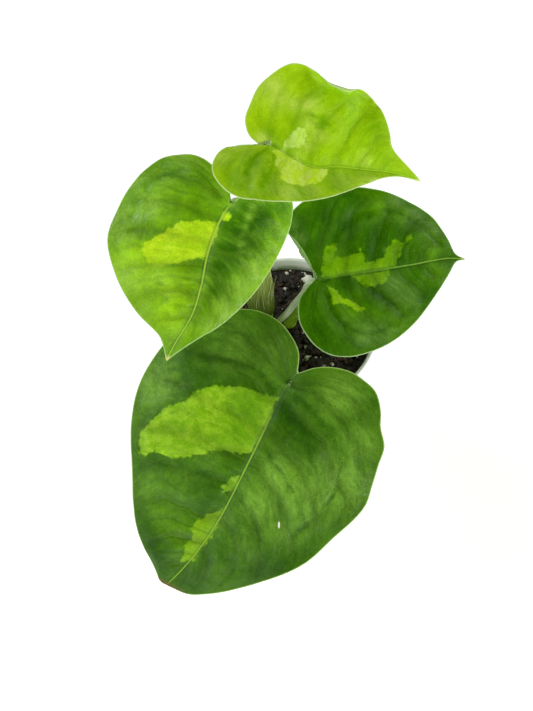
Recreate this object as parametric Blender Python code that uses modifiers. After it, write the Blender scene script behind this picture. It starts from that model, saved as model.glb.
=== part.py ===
# A young variegated pothos with four heart-shaped leaves in a small round nursery pot.
# The pot stands on z = 0 with its axis on +Z, and the leaf in front points to -Y.
# Sizes are millimetres and angles are degrees; MM turns the sizes to Blender's metres.

import math
import random

import bmesh
import bpy
from mathutils import Vector

MM = 0.001
OBJECT_NAME = "potted_pothos"
GAP = 0.3
BLADE_THICK = 0.7

# Pot: a tapered cup with a rolled rim and a ring of drain holes round a solid centre
POT_HEIGHT = 51.0
POT_RIM_R = 26.8
POT_TOP_R = 25.1
POT_FOOT_R = 18.5
POT_WALL = 0.9
POT_FLOOR = 1.4
RIM_DROP = 6.0
LIP_THICK = 1.4
DRAIN_COUNT = 6
DRAIN_R = 2.4
DRAIN_RING_R = 11.5
POT_STEPS = 40

# Soil: fills the pot to just under the rim, in low lumps with grains of perlite
SOIL_TOP = 48.0
SOIL_DOME = 1.2
SOIL_STEPS = 32
SOIL_RINGS = 7
CLUMP_COUNT = 22
PERLITE_COUNT = 12
GRAIN_SINK = 0.25
# Perlite grains that show between the leaves: x, y and radius
PERLITE_SEEN = [(5.6, 19.9, 2.0), (4.6, 21.9, 0.8), (-0.9, 22.2, 0.7), (3.4, -6.2, 0.7),
                (4.8, -6.6, 0.7), (7.6, -10.0, 0.9), (12.5, -12.5, 0.8), (-1.4, 15.7, 0.8)]

# Stems: upright vine pieces rooted in plain holes; x, y, z and radius along each
STEM_MAIN = [(-5.5, 3.5, 24.0, 2.3), (-6.4, 4.0, 38.0, 2.3), (-7.4, 4.5, 46.0, 2.4),
             (-8.3, 5.1, 52.0, 2.5), (-8.8, 5.7, 56.0, 2.2)]
STEM_SIDE = [(-1.4, 1.5, 26.0, 1.7), (-1.2, 1.5, 40.0, 1.7), (-0.6, 1.6, 48.0, 1.8),
             (0.6, 2.0, 52.5, 1.8), (3.4, 2.8, 57.0, 1.5)]

# Petioles: the leaf stalks, each from its stem; the last stretch is worked out from the leaf
# that it carries, with the angle between stalk and blade, and the radius at its end
PETIOLES = {
    "petiole_top": {"leaf": "leaf_top", "angle": 75, "end_r": 1.3, "route": [
        (-8.6, 7.2, 56.9, 1.3), (-8.2, 7.8, 69.0, 1.2), (-8.4, 9.8, 78.0, 1.1),
        (-8.3, 13.2, 86.0, 1.1), (-8.2, 17.0, 93.0, 1.1), (-8.4, 19.6, 100.0, 1.1)]},
    "petiole_left": {"leaf": "leaf_left", "angle": 70, "end_r": 1.3, "route": [
        (-9.5, 4.6, 57.2, 1.3), (-10.5, 5.9, 69.0, 1.2), (-12.7, 9.8, 80.0, 1.1),
        (-14.8, 13.8, 87.4, 1.1)]},
    "petiole_right": {"leaf": "leaf_right", "angle": 70, "end_r": 1.2, "route": [
        (-3.1, 2.4, 51.0, 1.0), (-0.8, 1.7, 56.0, 1.0), (1.3, 1.2, 61.6, 1.0),
        (3.8, 1.5, 66.2, 1.0)]},
    "petiole_front": {"leaf": "leaf_front", "angle": 35, "end_r": 1.4, "route": [
        (-2.4, -1.0, 51.0, 1.3), (-2.4, -8.0, 55.6, 1.2), (-1.2, -15.5, 58.0, 1.2)]},
}
SEAT_RUN = 4.0

# The winged sheath of the left petiole, a tall trough open at the back
SHEATH_PATH = [(-8.5, 5.2, 52.6), (-9.3, 5.7, 60.0), (-9.3, 6.7, 68.0), (-9.4, 8.4, 76.0)]
SHEATH_R = [2.9, 3.5, 3.7, 3.7]
SHEATH_OPEN = [110.0, 120.0, 150.0, 250.0]
SHEATH_BACK = 75.0
SHEATH_THICK = 0.7

# Leaves. Along runs from the petiole to the tip and across to the leaf's own left when seen
# from its tip: "heading", "droop" and "bank" aim the blade, "bend" curves it down lengthways,
# and "rise" and "curl" lift each half from the midrib and turn its margin down again.
# Halves and lists of two are in the order plus, minus. Waves are height at the margin,
# length, phase and side.
LEAVES = {
    "leaf_front": {
        "base": (-1.4, -27.0, 60.2), "heading": -122, "droop": 31, "bank": -8, "bend": 24,
        "rise": (5, 5), "curl": (16, 16), "half_width": 38, "lobe": 18, "notch": (-4.6, 1.1),
        "midrib": [(22, 0), (44, -0.5), (56, -2.2), (66, -4.6), (73.4, -7)],
        "plus": [(-8.4, 5.0), (-10.8, 9.4), (-12.0, 14.6), (-11.6, 18.8), (-10.2, 23.4),
                 (-6.0, 27.2), (-2.0, 29.2), (2.6, 32.8), (7.8, 33.7), (14.5, 34.8),
                 (21.2, 35.6), (33.6, 31.6), (44.4, 27.6), (56.6, 18.2), (67.8, 6.6),
                 (72.2, 0.0), (73.0, -4.4)],
        "minus": [(-10.2, -1.4), (-13.4, -5.6), (-15.4, -10.2), (-15.8, -14.8), (-15.0, -19.8),
                  (-11.0, -27.0), (-4.0, -34.0), (6.8, -38.8), (19.6, -40.3), (32.0, -37.0),
                  (45.2, -30.6), (60.8, -21.8), (69.6, -12.6), (73.0, -9.2)],
        "waves": [(0.8, 23, 0.4, 1), (0.5, 31, 1.6, -1)]},
    "leaf_left": {
        "base": (-17.2, 11.2, 95.8), "heading": -112, "droop": 27, "bank": -2, "bend": 18,
        "rise": (2, 8), "curl": (56, 16), "half_width": 28, "lobe": 12, "notch": (-0.6, -0.2),
        "midrib": [(4, -1.1), (15, -1.6), (25, -0.5), (33, -0.5), (43, -3.0), (48.2, -4)],
        "plus": [(-0.9, 1.0), (-2.4, 1.8), (-6.5, 3.8), (-10.0, 8.4), (-10.0, 13.6),
                 (-6.8, 16.8), (-3.2, 17.8), (2.8, 18.4), (12.8, 17.2), (24.0, 13.6),
                 (34.0, 7.8), (38.4, 3.8), (45.2, -1.8)],
        "minus": [(-2.2, -0.7), (-5.6, -4.6), (-9.0, -9.4), (-10.0, -14.6), (-8.8, -19.2),
                  (-6.4, -23.6), (-1.8, -26.8), (2.4, -28.6), (9.0, -30.8), (19.6, -30.9),
                  (29.2, -25.6), (37.2, -16.2), (41.8, -7.8), (43.8, -6.2)],
        "waves": [(0.7, 19, 0.9, -1)]},
    "leaf_right": {
        "base": (7.7, 0.3, 74.4), "heading": 12, "droop": 4, "bank": 27, "bend": 16,
        "rise": (6, 6), "curl": (14, 14), "half_width": 24, "lobe": 9, "notch": (-1.0, 0.3),
        "midrib": [(5, 0.2), (18.8, 0.8), (30, 1.4), (42, 2.3), (48.4, 1.6)],
        "plus": [(-1.6, 4.8), (-4.4, 11.6), (-6.6, 15.0), (-6.0, 19.0), (-3.4, 22.0),
                 (3.0, 25.4), (10.0, 26.8), (16.4, 26.6), (21.2, 25.4), (29.8, 22.0),
                 (38.0, 16.2), (41.0, 12.2), (43.4, 7.6), (44.9, 3.6)],
        "minus": [(-4.2, -2.3), (-6.4, -5.0), (-7.2, -8.0), (-7.2, -12.0), (-5.4, -16.4),
                  (-3.2, -19.5), (0.0, -22.0), (4.0, -23.2), (8.4, -23.4), (18.2, -21.2),
                  (27.6, -15.8), (37.4, -6.6), (41.8, -2.0), (44.8, 1.0)],
        "waves": [(0.6, 20, 0.2, 1)]},
    "leaf_top": {
        "base": (-6.3, 19.5, 110.8), "heading": -12, "droop": 8, "bank": 10, "bend": 20,
        "rise": (22, 22), "curl": (10, 10), "half_width": 23, "lobe": 13,
        "notch": (-3.0, -1.0),
        "midrib": [(5, -1.4), (12.4, -3.2), (20, -0.6), (28.4, 1.8), (35.6, 4.0), (44.4, 5.2)],
        "plus": [(-6.0, 0.6), (-8.2, 4.8), (-8.0, 9.8), (-7.0, 15.0), (-4.8, 18.2),
                 (0.2, 23.2), (3.4, 24.4), (7.2, 22.3), (11.2, 19.6), (15.4, 19.5),
                 (19.6, 21.6), (25.2, 19.8), (30.6, 13.8), (32.8, 10.4), (37.6, 8.0)],
        "minus": [(-9.4, -3.0), (-12.2, -5.2), (-13.5, -9.4), (-13.0, -13.0), (-10.6, -16.6),
                  (-6.2, -20.2), (-1.0, -22.3), (4.8, -21.4), (17.6, -14.4), (27.8, -4.8),
                  (32.6, 0.2), (38.0, 3.6)],
        "waves": [(1.2, 17, 2.6, 1), (0.5, 24, 0.0, -1)]},
}
LOBE_BEND = 5
MARGIN_STATIONS = 30
RIB_STATIONS = 6
FAN_SHARE = 0.24


def new_material(name, color, roughness):
    """A plain Principled material in the colour that the piece has in daylight."""
    material = bpy.data.materials.new(name)
    material.use_nodes = True
    shader = material.node_tree.nodes["Principled BSDF"]
    shader.inputs["Base Color"].default_value = (*color, 1.0)
    shader.inputs["Roughness"].default_value = roughness
    return material


def clear_scene():
    for old in list(bpy.data.objects):
        bpy.data.objects.remove(old, do_unlink=True)


def new_collection(name):
    collection = bpy.data.collections.new(name)
    bpy.context.scene.collection.children.link(collection)
    return collection


def link(obj, collection, material=None):
    collection.objects.link(obj)
    if material:
        obj.data.materials.append(material)
    return obj


def mesh_from(bm, name):
    mesh = bpy.data.meshes.new(name)
    bm.to_mesh(mesh)
    bm.free()
    return mesh


def smooth_path(points, count):
    """Points spread evenly along a centripetal Catmull-Rom curve through the given ones."""
    knots = [Vector(p) for p in points]
    knots = [2 * knots[0] - knots[1]] + knots + [2 * knots[-1] - knots[-2]]
    fine = []
    for p0, p1, p2, p3 in zip(knots, knots[1:], knots[2:], knots[3:]):
        t1 = (p1 - p0).length ** 0.5
        t2 = t1 + (p2 - p1).length ** 0.5
        t3 = t2 + (p3 - p2).length ** 0.5
        for step in range(16):
            t = t1 + (t2 - t1) * step / 16
            a1 = p0.lerp(p1, t / t1)
            a2 = p1.lerp(p2, (t - t1) / (t2 - t1))
            a3 = p2.lerp(p3, (t - t2) / (t3 - t2))
            b1 = a1.lerp(a2, t / t2)
            b2 = a2.lerp(a3, (t - t1) / (t3 - t1))
            fine.append(b1.lerp(b2, (t - t1) / (t2 - t1)))
    fine.append(knots[-2])
    travelled = [0.0]
    for a, b in zip(fine, fine[1:]):
        travelled.append(travelled[-1] + (b - a).length)
    even = []
    index = 0
    for step in range(count):
        wanted = travelled[-1] * step / (count - 1)
        while index < len(fine) - 2 and travelled[index + 1] < wanted:
            index += 1
        share = (wanted - travelled[index]) / (travelled[index + 1] - travelled[index])
        even.append(fine[index].lerp(fine[index + 1], share))
    return even


def value_at(curve, along):
    """The second coordinate of a curve of (along, across) points at a given first one."""
    for a, b in zip(curve, curve[1:]):
        if along <= b[0]:
            return a[1] + (b[1] - a[1]) * (along - a[0]) / (b[0] - a[0])
    return curve[-1][1]


def arc(length, turn, start):
    """Run and height after a length of a curve that starts at an angle and turns down."""
    turn = turn if abs(turn) > 1e-6 else 1e-6
    end = start - turn * length
    return (math.sin(start) - math.sin(end)) / turn, (math.cos(end) - math.cos(start)) / turn


def blade_axes(leaf):
    heading, droop, bank = (math.radians(leaf[k]) for k in ("heading", "droop", "bank"))
    flat = Vector((math.cos(heading), math.sin(heading), 0))
    up = Vector((0, 0, 1))
    along = flat * math.cos(droop) - up * math.sin(droop)
    normal = flat * math.sin(droop) + up * math.cos(droop)
    across = normal.cross(along)
    return (along, across * math.cos(bank) + normal * math.sin(bank),
            normal * math.cos(bank) - across * math.sin(bank))


def blade_point(leaf, midline, along, across):
    """Where a point of the flat leaf lies on the bent and folded blade."""
    axis_along, axis_across, axis_normal = blade_axes(leaf)
    reach = leaf["midrib"][-1][0] if along >= 0 else leaf["lobe"]
    bend = math.radians(leaf["bend"] if along >= 0 else LOBE_BEND) / reach
    run, sink = arc(abs(along), bend, 0.0)
    slope = -bend * along if along >= 0 else bend * -along
    middle = value_at(midline, along)
    half = 0 if across >= middle else 1
    fade = 1.0 if along >= 0 else 1.0 + 0.5 * along / leaf["lobe"]
    width = abs(across - middle)
    out, lift = arc(width, math.radians(leaf["curl"][half]) / leaf["half_width"],
                    math.radians(leaf["rise"][half]) * fade)
    for height, length, phase, side in leaf["waves"]:
        if side == (1, -1)[half]:
            lift += (height * (width / leaf["half_width"]) ** 2
                     * math.sin(2 * math.pi * along / length + phase))
    x = math.copysign(run, along) - math.sin(slope) * lift
    z = sink + math.cos(slope) * lift
    y = middle + (out if half == 0 else -out)
    return Vector(leaf["base"]) + axis_along * x + axis_across * y + axis_normal * z


def build_leaf(name, leaf, collection, material):
    """An open surface of strips that fan from the petiole, then Solidify gives it its wall."""
    tip = leaf["midrib"][-1]
    notch = leaf["notch"]
    midline = [(p.x, p.y) for p in smooth_path([(*p, 0) for p in
                                                [notch, (0, 0)] + leaf["midrib"]], 120)]
    bm = bmesh.new()
    for half in ("plus", "minus"):
        outline = smooth_path([(*p, 0) for p in [notch] + leaf[half] + [tip]],
                              MARGIN_STATIONS)
        rows = []
        for i, edge in enumerate(outline):
            share = max(0.0, (i / (MARGIN_STATIONS - 1) - FAN_SHARE) / (1 - FAN_SHARE))
            rib_along = tip[0] * share
            rib = Vector((rib_along, value_at(midline, rib_along), 0))
            row = []
            for k in range(RIB_STATIONS):
                flat = rib.lerp(edge, k / (RIB_STATIONS - 1))
                row.append(bm.verts.new(blade_point(leaf, midline, flat.x, flat.y) * MM))
            rows.append(row)
        for a, b in zip(rows, rows[1:]):
            for k in range(RIB_STATIONS - 1):
                corners = [a[k], a[k + 1], b[k + 1], b[k]]
                bm.faces.new(corners if half == "minus" else corners[::-1])
    bmesh.ops.remove_doubles(bm, verts=bm.verts, dist=0.05 * MM)
    bmesh.ops.triangulate(bm, faces=bm.faces)
    leaf_object = bpy.data.objects.new(name, mesh_from(bm, name))
    link(leaf_object, collection, material)
    shell = leaf_object.modifiers.new("blade", "SOLIDIFY")
    shell.thickness = BLADE_THICK * MM
    shell.offset = -1.0
    leaf_object.data.shade_smooth()
    return leaf_object


def build_stalk(name, route, collection, material, count=14):
    """A tapering round stalk along a route of x, y, z and radius."""
    places = smooth_path([p[:3] for p in route], count)
    radii = smooth_path([(10 * i, p[3], 0) for i, p in enumerate(route)], count)
    curve = bpy.data.curves.new(name, "CURVE")
    curve.dimensions = "3D"
    curve.bevel_depth = MM
    curve.bevel_resolution = 2
    curve.use_fill_caps = True
    spline = curve.splines.new("POLY")
    spline.points.add(count - 1)
    for point, place, radius in zip(spline.points, places, radii):
        point.co = (*(place * MM), 1.0)
        point.radius = radius.y
    return link(bpy.data.objects.new(name, curve), collection, material)


def petiole_route(stalk):
    """The stalk's own points and two more that bring its end just under the blade."""
    leaf = LEAVES[stalk["leaf"]]
    along, _, normal = blade_axes(leaf)
    angle = math.radians(stalk["angle"])
    aim = along * math.cos(angle) + normal * math.sin(angle)
    radius = stalk["end_r"]
    below = BLADE_THICK + GAP + radius * math.cos(angle) + 0.1
    end = Vector(leaf["base"]) - normal * below
    before = end - aim * SEAT_RUN
    return stalk["route"] + [(*before, 0.9 * radius), (*end, radius)]


def build_sheath(collection, material):
    """A trough round the two stalks, made as an open sheet with Solidify."""
    count = 10
    sides = 10
    places = smooth_path(SHEATH_PATH, count)
    shape = zip(SHEATH_R, SHEATH_OPEN)
    sizes = smooth_path([(10 * i, r, opening) for i, (r, opening) in enumerate(shape)], count)
    bm = bmesh.new()
    rings = []
    for place, size in zip(places, sizes):
        ring = []
        for k in range(sides + 1):
            turn = math.radians(SHEATH_BACK + size.z / 2 + (360 - size.z) * k / sides)
            out = Vector((math.cos(turn), math.sin(turn), 0))
            ring.append(bm.verts.new((place + out * size.y) * MM))
        rings.append(ring)
    for a, b in zip(rings, rings[1:]):
        for k in range(sides):
            bm.faces.new([a[k], a[k + 1], b[k + 1], b[k]])
    bmesh.ops.triangulate(bm, faces=bm.faces)
    sheath = bpy.data.objects.new("sheath_left", mesh_from(bm, "sheath_left"))
    link(sheath, collection, material)
    shell = sheath.modifiers.new("wall", "SOLIDIFY")
    shell.thickness = SHEATH_THICK * MM
    shell.offset = 1.0
    sheath.data.shade_smooth()
    return sheath


def turned(name, profile, steps, collection, material):
    """A solid turned round +Z from a profile of radius and height, outer side top first."""
    bm = bmesh.new()
    verts = [bm.verts.new((r * MM, 0, z * MM)) for r, z in profile]
    for a, b in zip(verts, verts[1:]):
        bm.edges.new((a, b))
    if profile[0][0] > 0:
        bm.edges.new((verts[-1], verts[0]))
    solid = link(bpy.data.objects.new(name, mesh_from(bm, name)), collection, material)
    screw = solid.modifiers.new("turn", "SCREW")
    screw.steps = steps
    screw.render_steps = steps
    screw.use_merge_vertices = True
    screw.merge_threshold = 0.00001
    return solid


def baked(obj):
    """Replaces an object's modifiers by the mesh that they give."""
    evaluated = obj.evaluated_get(bpy.context.evaluated_depsgraph_get())
    mesh = bpy.data.meshes.new_from_object(evaluated)
    obj.modifiers.clear()
    obj.data = mesh
    return obj


def wall_radius(height):
    """The pot's outer radius at a height, under the rim."""
    return POT_FOOT_R + (POT_TOP_R - POT_FOOT_R) * height / POT_HEIGHT


def build_pot(collection, cutters, material):
    lip_low = POT_HEIGHT - RIM_DROP
    profile = [
        (POT_RIM_R - 0.5, POT_HEIGHT),
        (POT_RIM_R, POT_HEIGHT - 0.6),
        (POT_RIM_R - 0.2, lip_low + 0.4),
        (POT_RIM_R - 0.6, lip_low),
        (wall_radius(lip_low), lip_low),
        (wall_radius(2.0), 2.0),
        (wall_radius(0.0) - 1.0, 0.0),
        (0.0, 0.0),
        (0.0, POT_FLOOR),
        (wall_radius(POT_FLOOR) - POT_WALL - 0.4, POT_FLOOR),
        (wall_radius(POT_FLOOR + 1.2) - POT_WALL, POT_FLOOR + 1.2),
        (wall_radius(lip_low) - POT_WALL, lip_low),
        (POT_RIM_R - LIP_THICK - 0.4, lip_low + 1.2),
        (POT_RIM_R - LIP_THICK, POT_HEIGHT - 0.5),
        (POT_RIM_R - LIP_THICK + 0.4, POT_HEIGHT),
    ]
    pot = turned("pot", profile, POT_STEPS, collection, material)
    for k in range(DRAIN_COUNT):
        angle = 2 * math.pi * (k + 0.5) / DRAIN_COUNT
        bpy.ops.mesh.primitive_cylinder_add(
            vertices=12, radius=DRAIN_R * MM, depth=4 * POT_FLOOR * MM,
            location=(DRAIN_RING_R * math.cos(angle) * MM,
                      DRAIN_RING_R * math.sin(angle) * MM, POT_FLOOR * MM / 2))
        add_cut(pot, bpy.context.object, "drain_cutter_%d" % (k + 1), cutters)
    return pot


def add_cut(target, cutter, name, cutters):
    cutter.name = name
    for old in list(cutter.users_collection):
        old.objects.unlink(cutter)
    cutters.objects.link(cutter)
    cutter.hide_render = True
    cutter.display_type = "WIRE"
    cut = target.modifiers.new(name, "BOOLEAN")
    cut.operation = "DIFFERENCE"
    cut.object = cutter
    return cut


def soil_height(x, y):
    """The lumpy top of the soil at a place, domed a little to the middle."""
    reach = (x * x + y * y) / POT_TOP_R ** 2
    lumps = (0.45 * math.sin(0.55 * x + 1.3) * math.cos(0.62 * y + 0.4)
             + 0.3 * math.sin(1.1 * x - 0.8 * y + 2.0) + 0.2 * math.cos(1.6 * y + 0.9 * x))
    return SOIL_TOP + SOIL_DOME * (1 - reach) + lumps


def grain(place, radius, squash, turn):
    """A small faceted lump, one of those that are fused to the soil."""
    bpy.ops.mesh.primitive_ico_sphere_add(
        subdivisions=1, radius=radius * MM,
        location=[c * MM for c in place], rotation=(turn, turn * 0.7, turn * 1.9))
    lump = bpy.context.object
    lump.scale = (1.0, squash, 0.85)
    return lump


def build_soil(collection, material, stems):
    lip_low = POT_HEIGHT - RIM_DROP
    edge_r = POT_RIM_R - LIP_THICK - 0.8
    radii = [edge_r * (SOIL_RINGS - k) / SOIL_RINGS for k in range(SOIL_RINGS)]
    top = [(0.0, SOIL_TOP)] + [(r, SOIL_TOP) for r in reversed(radii)]
    side = [(wall_radius(lip_low) - POT_WALL - GAP - 0.1, lip_low),
            (wall_radius(POT_FLOOR + 2.0) - POT_WALL - GAP - 0.2, POT_FLOOR + 2.0),
            (wall_radius(POT_FLOOR) - POT_WALL - 1.6, POT_FLOOR + GAP), (0.0, POT_FLOOR + GAP)]
    soil = turned("soil", top + side, SOIL_STEPS, collection, material)
    baked(soil)
    for vert in soil.data.vertices:
        if vert.co.z > (SOIL_TOP - 0.01) * MM:
            x = vert.co.x / MM
            y = vert.co.y / MM
            vert.co.z = soil_height(x, y) * MM
            if math.hypot(x, y) > edge_r - 0.1:
                vert.co.z = (SOIL_TOP - 0.6) * MM

    grains = bpy.data.collections.new("grains")
    bpy.context.scene.collection.children.link(grains)
    draw = random.Random(11)
    spots = [(x, y, r, 0.9) for x, y, r in PERLITE_SEEN]
    for kind, count in (("clump", CLUMP_COUNT), ("perlite", PERLITE_COUNT)):
        for _ in range(count):
            reach = (edge_r - 2.6) * math.sqrt(draw.random())
            angle = draw.uniform(0, 2 * math.pi)
            size = draw.uniform(1.3, 2.4) if kind == "clump" else draw.uniform(0.6, 1.3)
            spots.append((reach * math.cos(angle), reach * math.sin(angle), size,
                          draw.uniform(0.7, 1.0)))
    for x, y, size, squash in spots:
        if any(math.hypot(x - sx, y - sy) < sr + size + 0.6 for sx, sy, sr in stems):
            continue
        lump = grain((x, y, soil_height(x, y) - GRAIN_SINK), size, squash,
                     draw.uniform(0, 3))
        for old in list(lump.users_collection):
            old.objects.unlink(lump)
        grains.objects.link(lump)
    fuse = soil.modifiers.new("grains", "BOOLEAN")
    fuse.operation = "UNION"
    fuse.operand_type = "COLLECTION"
    fuse.collection = grains
    fuse.solver = "MANIFOLD"
    baked(soil)
    for lump in list(grains.objects):
        bpy.data.objects.remove(lump, do_unlink=True)
    bpy.data.collections.remove(grains)
    return soil


def cut_stem_hole(soil, stem, name, cutters):
    """A plain hole round a stem's buried foot, wider than the stem by the gap."""
    copy = bpy.data.objects.new(name, stem.data.copy())
    for point in copy.data.splines[0].points:
        point.radius += GAP
    bpy.context.scene.collection.objects.link(copy)
    first = copy.data.splines[0].points[0]
    first.co.z -= GAP * MM
    bpy.context.view_layer.update()
    evaluated = copy.evaluated_get(bpy.context.evaluated_depsgraph_get())
    mesh = bpy.data.meshes.new_from_object(evaluated)
    bm = bmesh.new()
    bm.from_mesh(mesh)
    bmesh.ops.remove_doubles(bm, verts=bm.verts, dist=0.00001)
    bm.to_mesh(mesh)
    bm.free()
    bpy.data.objects.remove(copy, do_unlink=True)
    cutter = bpy.data.objects.new(name, mesh)
    bpy.context.scene.collection.objects.link(cutter)
    add_cut(soil, cutter, name, cutters)


def build():
    clear_scene()
    parts = new_collection(OBJECT_NAME)
    cutters = new_collection("cutters")
    white_plastic = new_material("white plastic", (0.80, 0.80, 0.78), 0.45)
    potting_mix = new_material("potting mix", (0.025, 0.016, 0.010), 0.95)
    stem_green = new_material("stem green", (0.09, 0.16, 0.02), 0.5)
    petiole_green = new_material("petiole green", (0.42, 0.52, 0.27), 0.45)
    sheath_green = new_material("sheath green", (0.34, 0.42, 0.12), 0.5)
    leaf_colors = {"leaf_front": (0.035, 0.13, 0.012), "leaf_left": (0.10, 0.30, 0.015),
                   "leaf_right": (0.045, 0.16, 0.008), "leaf_top": (0.24, 0.48, 0.02)}

    build_pot(parts, cutters, white_plastic)
    stem_main = build_stalk("stem_main", STEM_MAIN, parts, stem_green, 12)
    stem_side = build_stalk("stem_side", STEM_SIDE, parts, stem_green, 12)
    feet = [(p[0], p[1], p[3]) for p in (STEM_MAIN[2], STEM_SIDE[2])]
    soil = build_soil(parts, potting_mix, feet)
    cut_stem_hole(soil, stem_main, "stem_main_cutter", cutters)
    cut_stem_hole(soil, stem_side, "stem_side_cutter", cutters)
    for name, stalk in PETIOLES.items():
        build_stalk(name, petiole_route(stalk), parts, petiole_green, 18)
    build_sheath(parts, sheath_green)
    for name, leaf in LEAVES.items():
        build_leaf(name, leaf, parts, new_material(name + " green", leaf_colors[name], 0.35))


build()
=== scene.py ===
import math
import random
from functools import partial

import bmesh
import bpy
import numpy as np
from mathutils import Matrix, Vector, noise


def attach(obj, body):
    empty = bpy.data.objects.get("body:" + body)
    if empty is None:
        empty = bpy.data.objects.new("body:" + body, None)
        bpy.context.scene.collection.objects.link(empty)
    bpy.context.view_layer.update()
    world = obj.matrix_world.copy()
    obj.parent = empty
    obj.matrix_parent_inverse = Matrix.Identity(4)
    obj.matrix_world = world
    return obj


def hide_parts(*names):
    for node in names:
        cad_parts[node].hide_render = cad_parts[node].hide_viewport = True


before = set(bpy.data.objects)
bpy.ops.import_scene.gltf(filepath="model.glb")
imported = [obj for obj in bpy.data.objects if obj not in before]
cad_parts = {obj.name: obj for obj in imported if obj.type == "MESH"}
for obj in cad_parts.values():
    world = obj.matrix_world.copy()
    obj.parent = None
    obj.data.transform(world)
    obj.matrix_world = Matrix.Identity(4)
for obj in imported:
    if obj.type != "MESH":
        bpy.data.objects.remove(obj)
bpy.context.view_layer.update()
mm = 0.001
scene = bpy.context.scene
print("frame loaded with", len(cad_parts), "nodes")


# ---- helpers

def toLinear(hexColour):
    channels = []
    for k in (1, 3, 5):
        value = int(hexColour[k:k + 2], 16) / 255
        channels.append(value / 12.92 if value <= 0.04045 else ((value + 0.055) / 1.055) ** 2.4)
    return (*channels, 1.0)


def feed(socket, value):
    # value is a number, a vector, a hex colour, or another node or one of its outputs
    if isinstance(value, bpy.types.Node):
        value = next(output for output in value.outputs if output.enabled)
    if isinstance(value, bpy.types.NodeSocket):
        socket.id_data.links.new(value, socket)
    else:
        socket.default_value = toLinear(value) if isinstance(value, str) else value


modes = {"Math": "operation", "VectorMath": "operation", "MapRange": "interpolation_type",
         "Mix": "blend_type", "Mapping": "vector_type", "TexVoronoi": "feature"}
times, plus, minus = "Math MULTIPLY", "Math ADD", "Math SUBTRACT"
ease = "MapRange SMOOTHSTEP"       # value, from low, from high, to low, to high


def addNode(tree, kind, *feeds, **settings):
    # feeds fill the open inputs in their order; a setting names an input or a property
    kind, _, mode = kind.partition(" ")
    node = tree.nodes.new("ShaderNode" + kind)
    if kind == "Mix":
        node.data_type = "RGBA"
    if mode:
        setattr(node, modes[kind], mode)
    for key, value in settings.items():
        if key in node.inputs:
            feed(node.inputs[key], value)
        else:
            setattr(node, key, value)
    for socket, value in zip([s for s in node.inputs if s.enabled], feeds):
        feed(socket, value)
    return node


def newMaterial(name):
    material = bpy.data.materials.new(name)
    material.use_nodes = True
    return material, partial(addNode, material.node_tree)


def setSurface(material, values):
    shader = material.node_tree.nodes["Principled BSDF"]
    for key, value in values.items():
        feed(shader.inputs[key], value)
    return material


def setRamp(ramp, first, last, *between):
    elements = ramp.color_ramp.elements
    for element, (position, colour) in zip(elements, (first, last)):
        element.position, element.color = position, toLinear(colour)
    for position, colour in between:
        elements.new(position).color = toLinear(colour)
    return ramp


def deselectAll():
    if bpy.context.object and bpy.context.object.mode != "OBJECT":
        bpy.ops.object.mode_set(mode="OBJECT")
    bpy.ops.object.select_all(action="DESELECT")


def pick(obj):
    deselectAll()
    obj.select_set(True)
    bpy.context.view_layer.objects.active = obj


def addObject(name, data):
    obj = bpy.data.objects.new(name, data)
    scene.collection.objects.link(obj)
    return obj


def meshObject(name, bm):
    mesh = bpy.data.meshes.new(name)
    bm.to_mesh(mesh)
    bm.free()
    return addObject(name, mesh)


def thicken(obj, thick, offset):
    pick(obj)
    wall = obj.modifiers.new("wall", "SOLIDIFY")
    wall.thickness = thick * mm
    wall.offset = offset
    bpy.ops.object.modifier_apply(modifier="wall")
    return obj


def mergeShell():
    # the object in hand becomes one closed shell that faces outwards
    bpy.ops.object.mode_set(mode="EDIT")
    bpy.ops.mesh.select_all(action="SELECT")
    bpy.ops.mesh.remove_doubles(threshold=0.01 * mm)
    bpy.ops.mesh.normals_make_consistent(inside=False)
    bpy.ops.object.mode_set(mode="OBJECT")


def finishPiece(obj, name, material, node):
    obj.name = name
    obj.data.name = name
    obj.data.materials.clear()
    obj.data.materials.append(material)
    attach(obj, "root")
    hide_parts(node)


def joinAll(objects):
    deselectAll()
    for obj in objects:
        obj.select_set(True)
    bpy.context.view_layer.objects.active = objects[0]
    bpy.ops.object.join()
    return bpy.context.object


def smoothPath(points, count):
    # evenly spaced points on a centripetal Catmull-Rom curve, as in the solids
    knots = [Vector(p) for p in points]
    knots = [2 * knots[0] - knots[1]] + knots + [2 * knots[-1] - knots[-2]]
    fine = []
    for p0, p1, p2, p3 in zip(knots, knots[1:], knots[2:], knots[3:]):
        t1 = (p1 - p0).length ** 0.5
        t2 = t1 + (p2 - p1).length ** 0.5
        t3 = t2 + (p3 - p2).length ** 0.5
        for step in range(16):
            t = t1 + (t2 - t1) * step / 16
            a1 = p0.lerp(p1, t / t1)
            a2 = p1.lerp(p2, (t - t1) / (t2 - t1))
            a3 = p2.lerp(p3, (t - t2) / (t3 - t2))
            b1 = a1.lerp(a2, t / t2)
            b2 = a2.lerp(a3, (t - t1) / (t3 - t1))
            fine.append(b1.lerp(b2, (t - t1) / (t2 - t1)))
    fine.append(knots[-2])
    travelled = [0.0]
    for a, b in zip(fine, fine[1:]):
        travelled.append(travelled[-1] + (b - a).length)
    even = []
    index = 0
    for step in range(count):
        wanted = travelled[-1] * step / (count - 1)
        while index < len(fine) - 2 and travelled[index + 1] < wanted:
            index += 1
        share = (wanted - travelled[index]) / (travelled[index + 1] - travelled[index])
        even.append(fine[index].lerp(fine[index + 1], share))
    return even


def smoothFlat(points, count):
    return np.array([(p.x, p.y) for p in smoothPath([(*p, 0) for p in points], count)])


def smoothStep(value, low, high):
    share = np.clip((value - low) / (high - low), 0, 1)
    return share * share * (3 - 2 * share)


# ---- camera, floor and light first, so a look at any stage is framed

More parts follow.
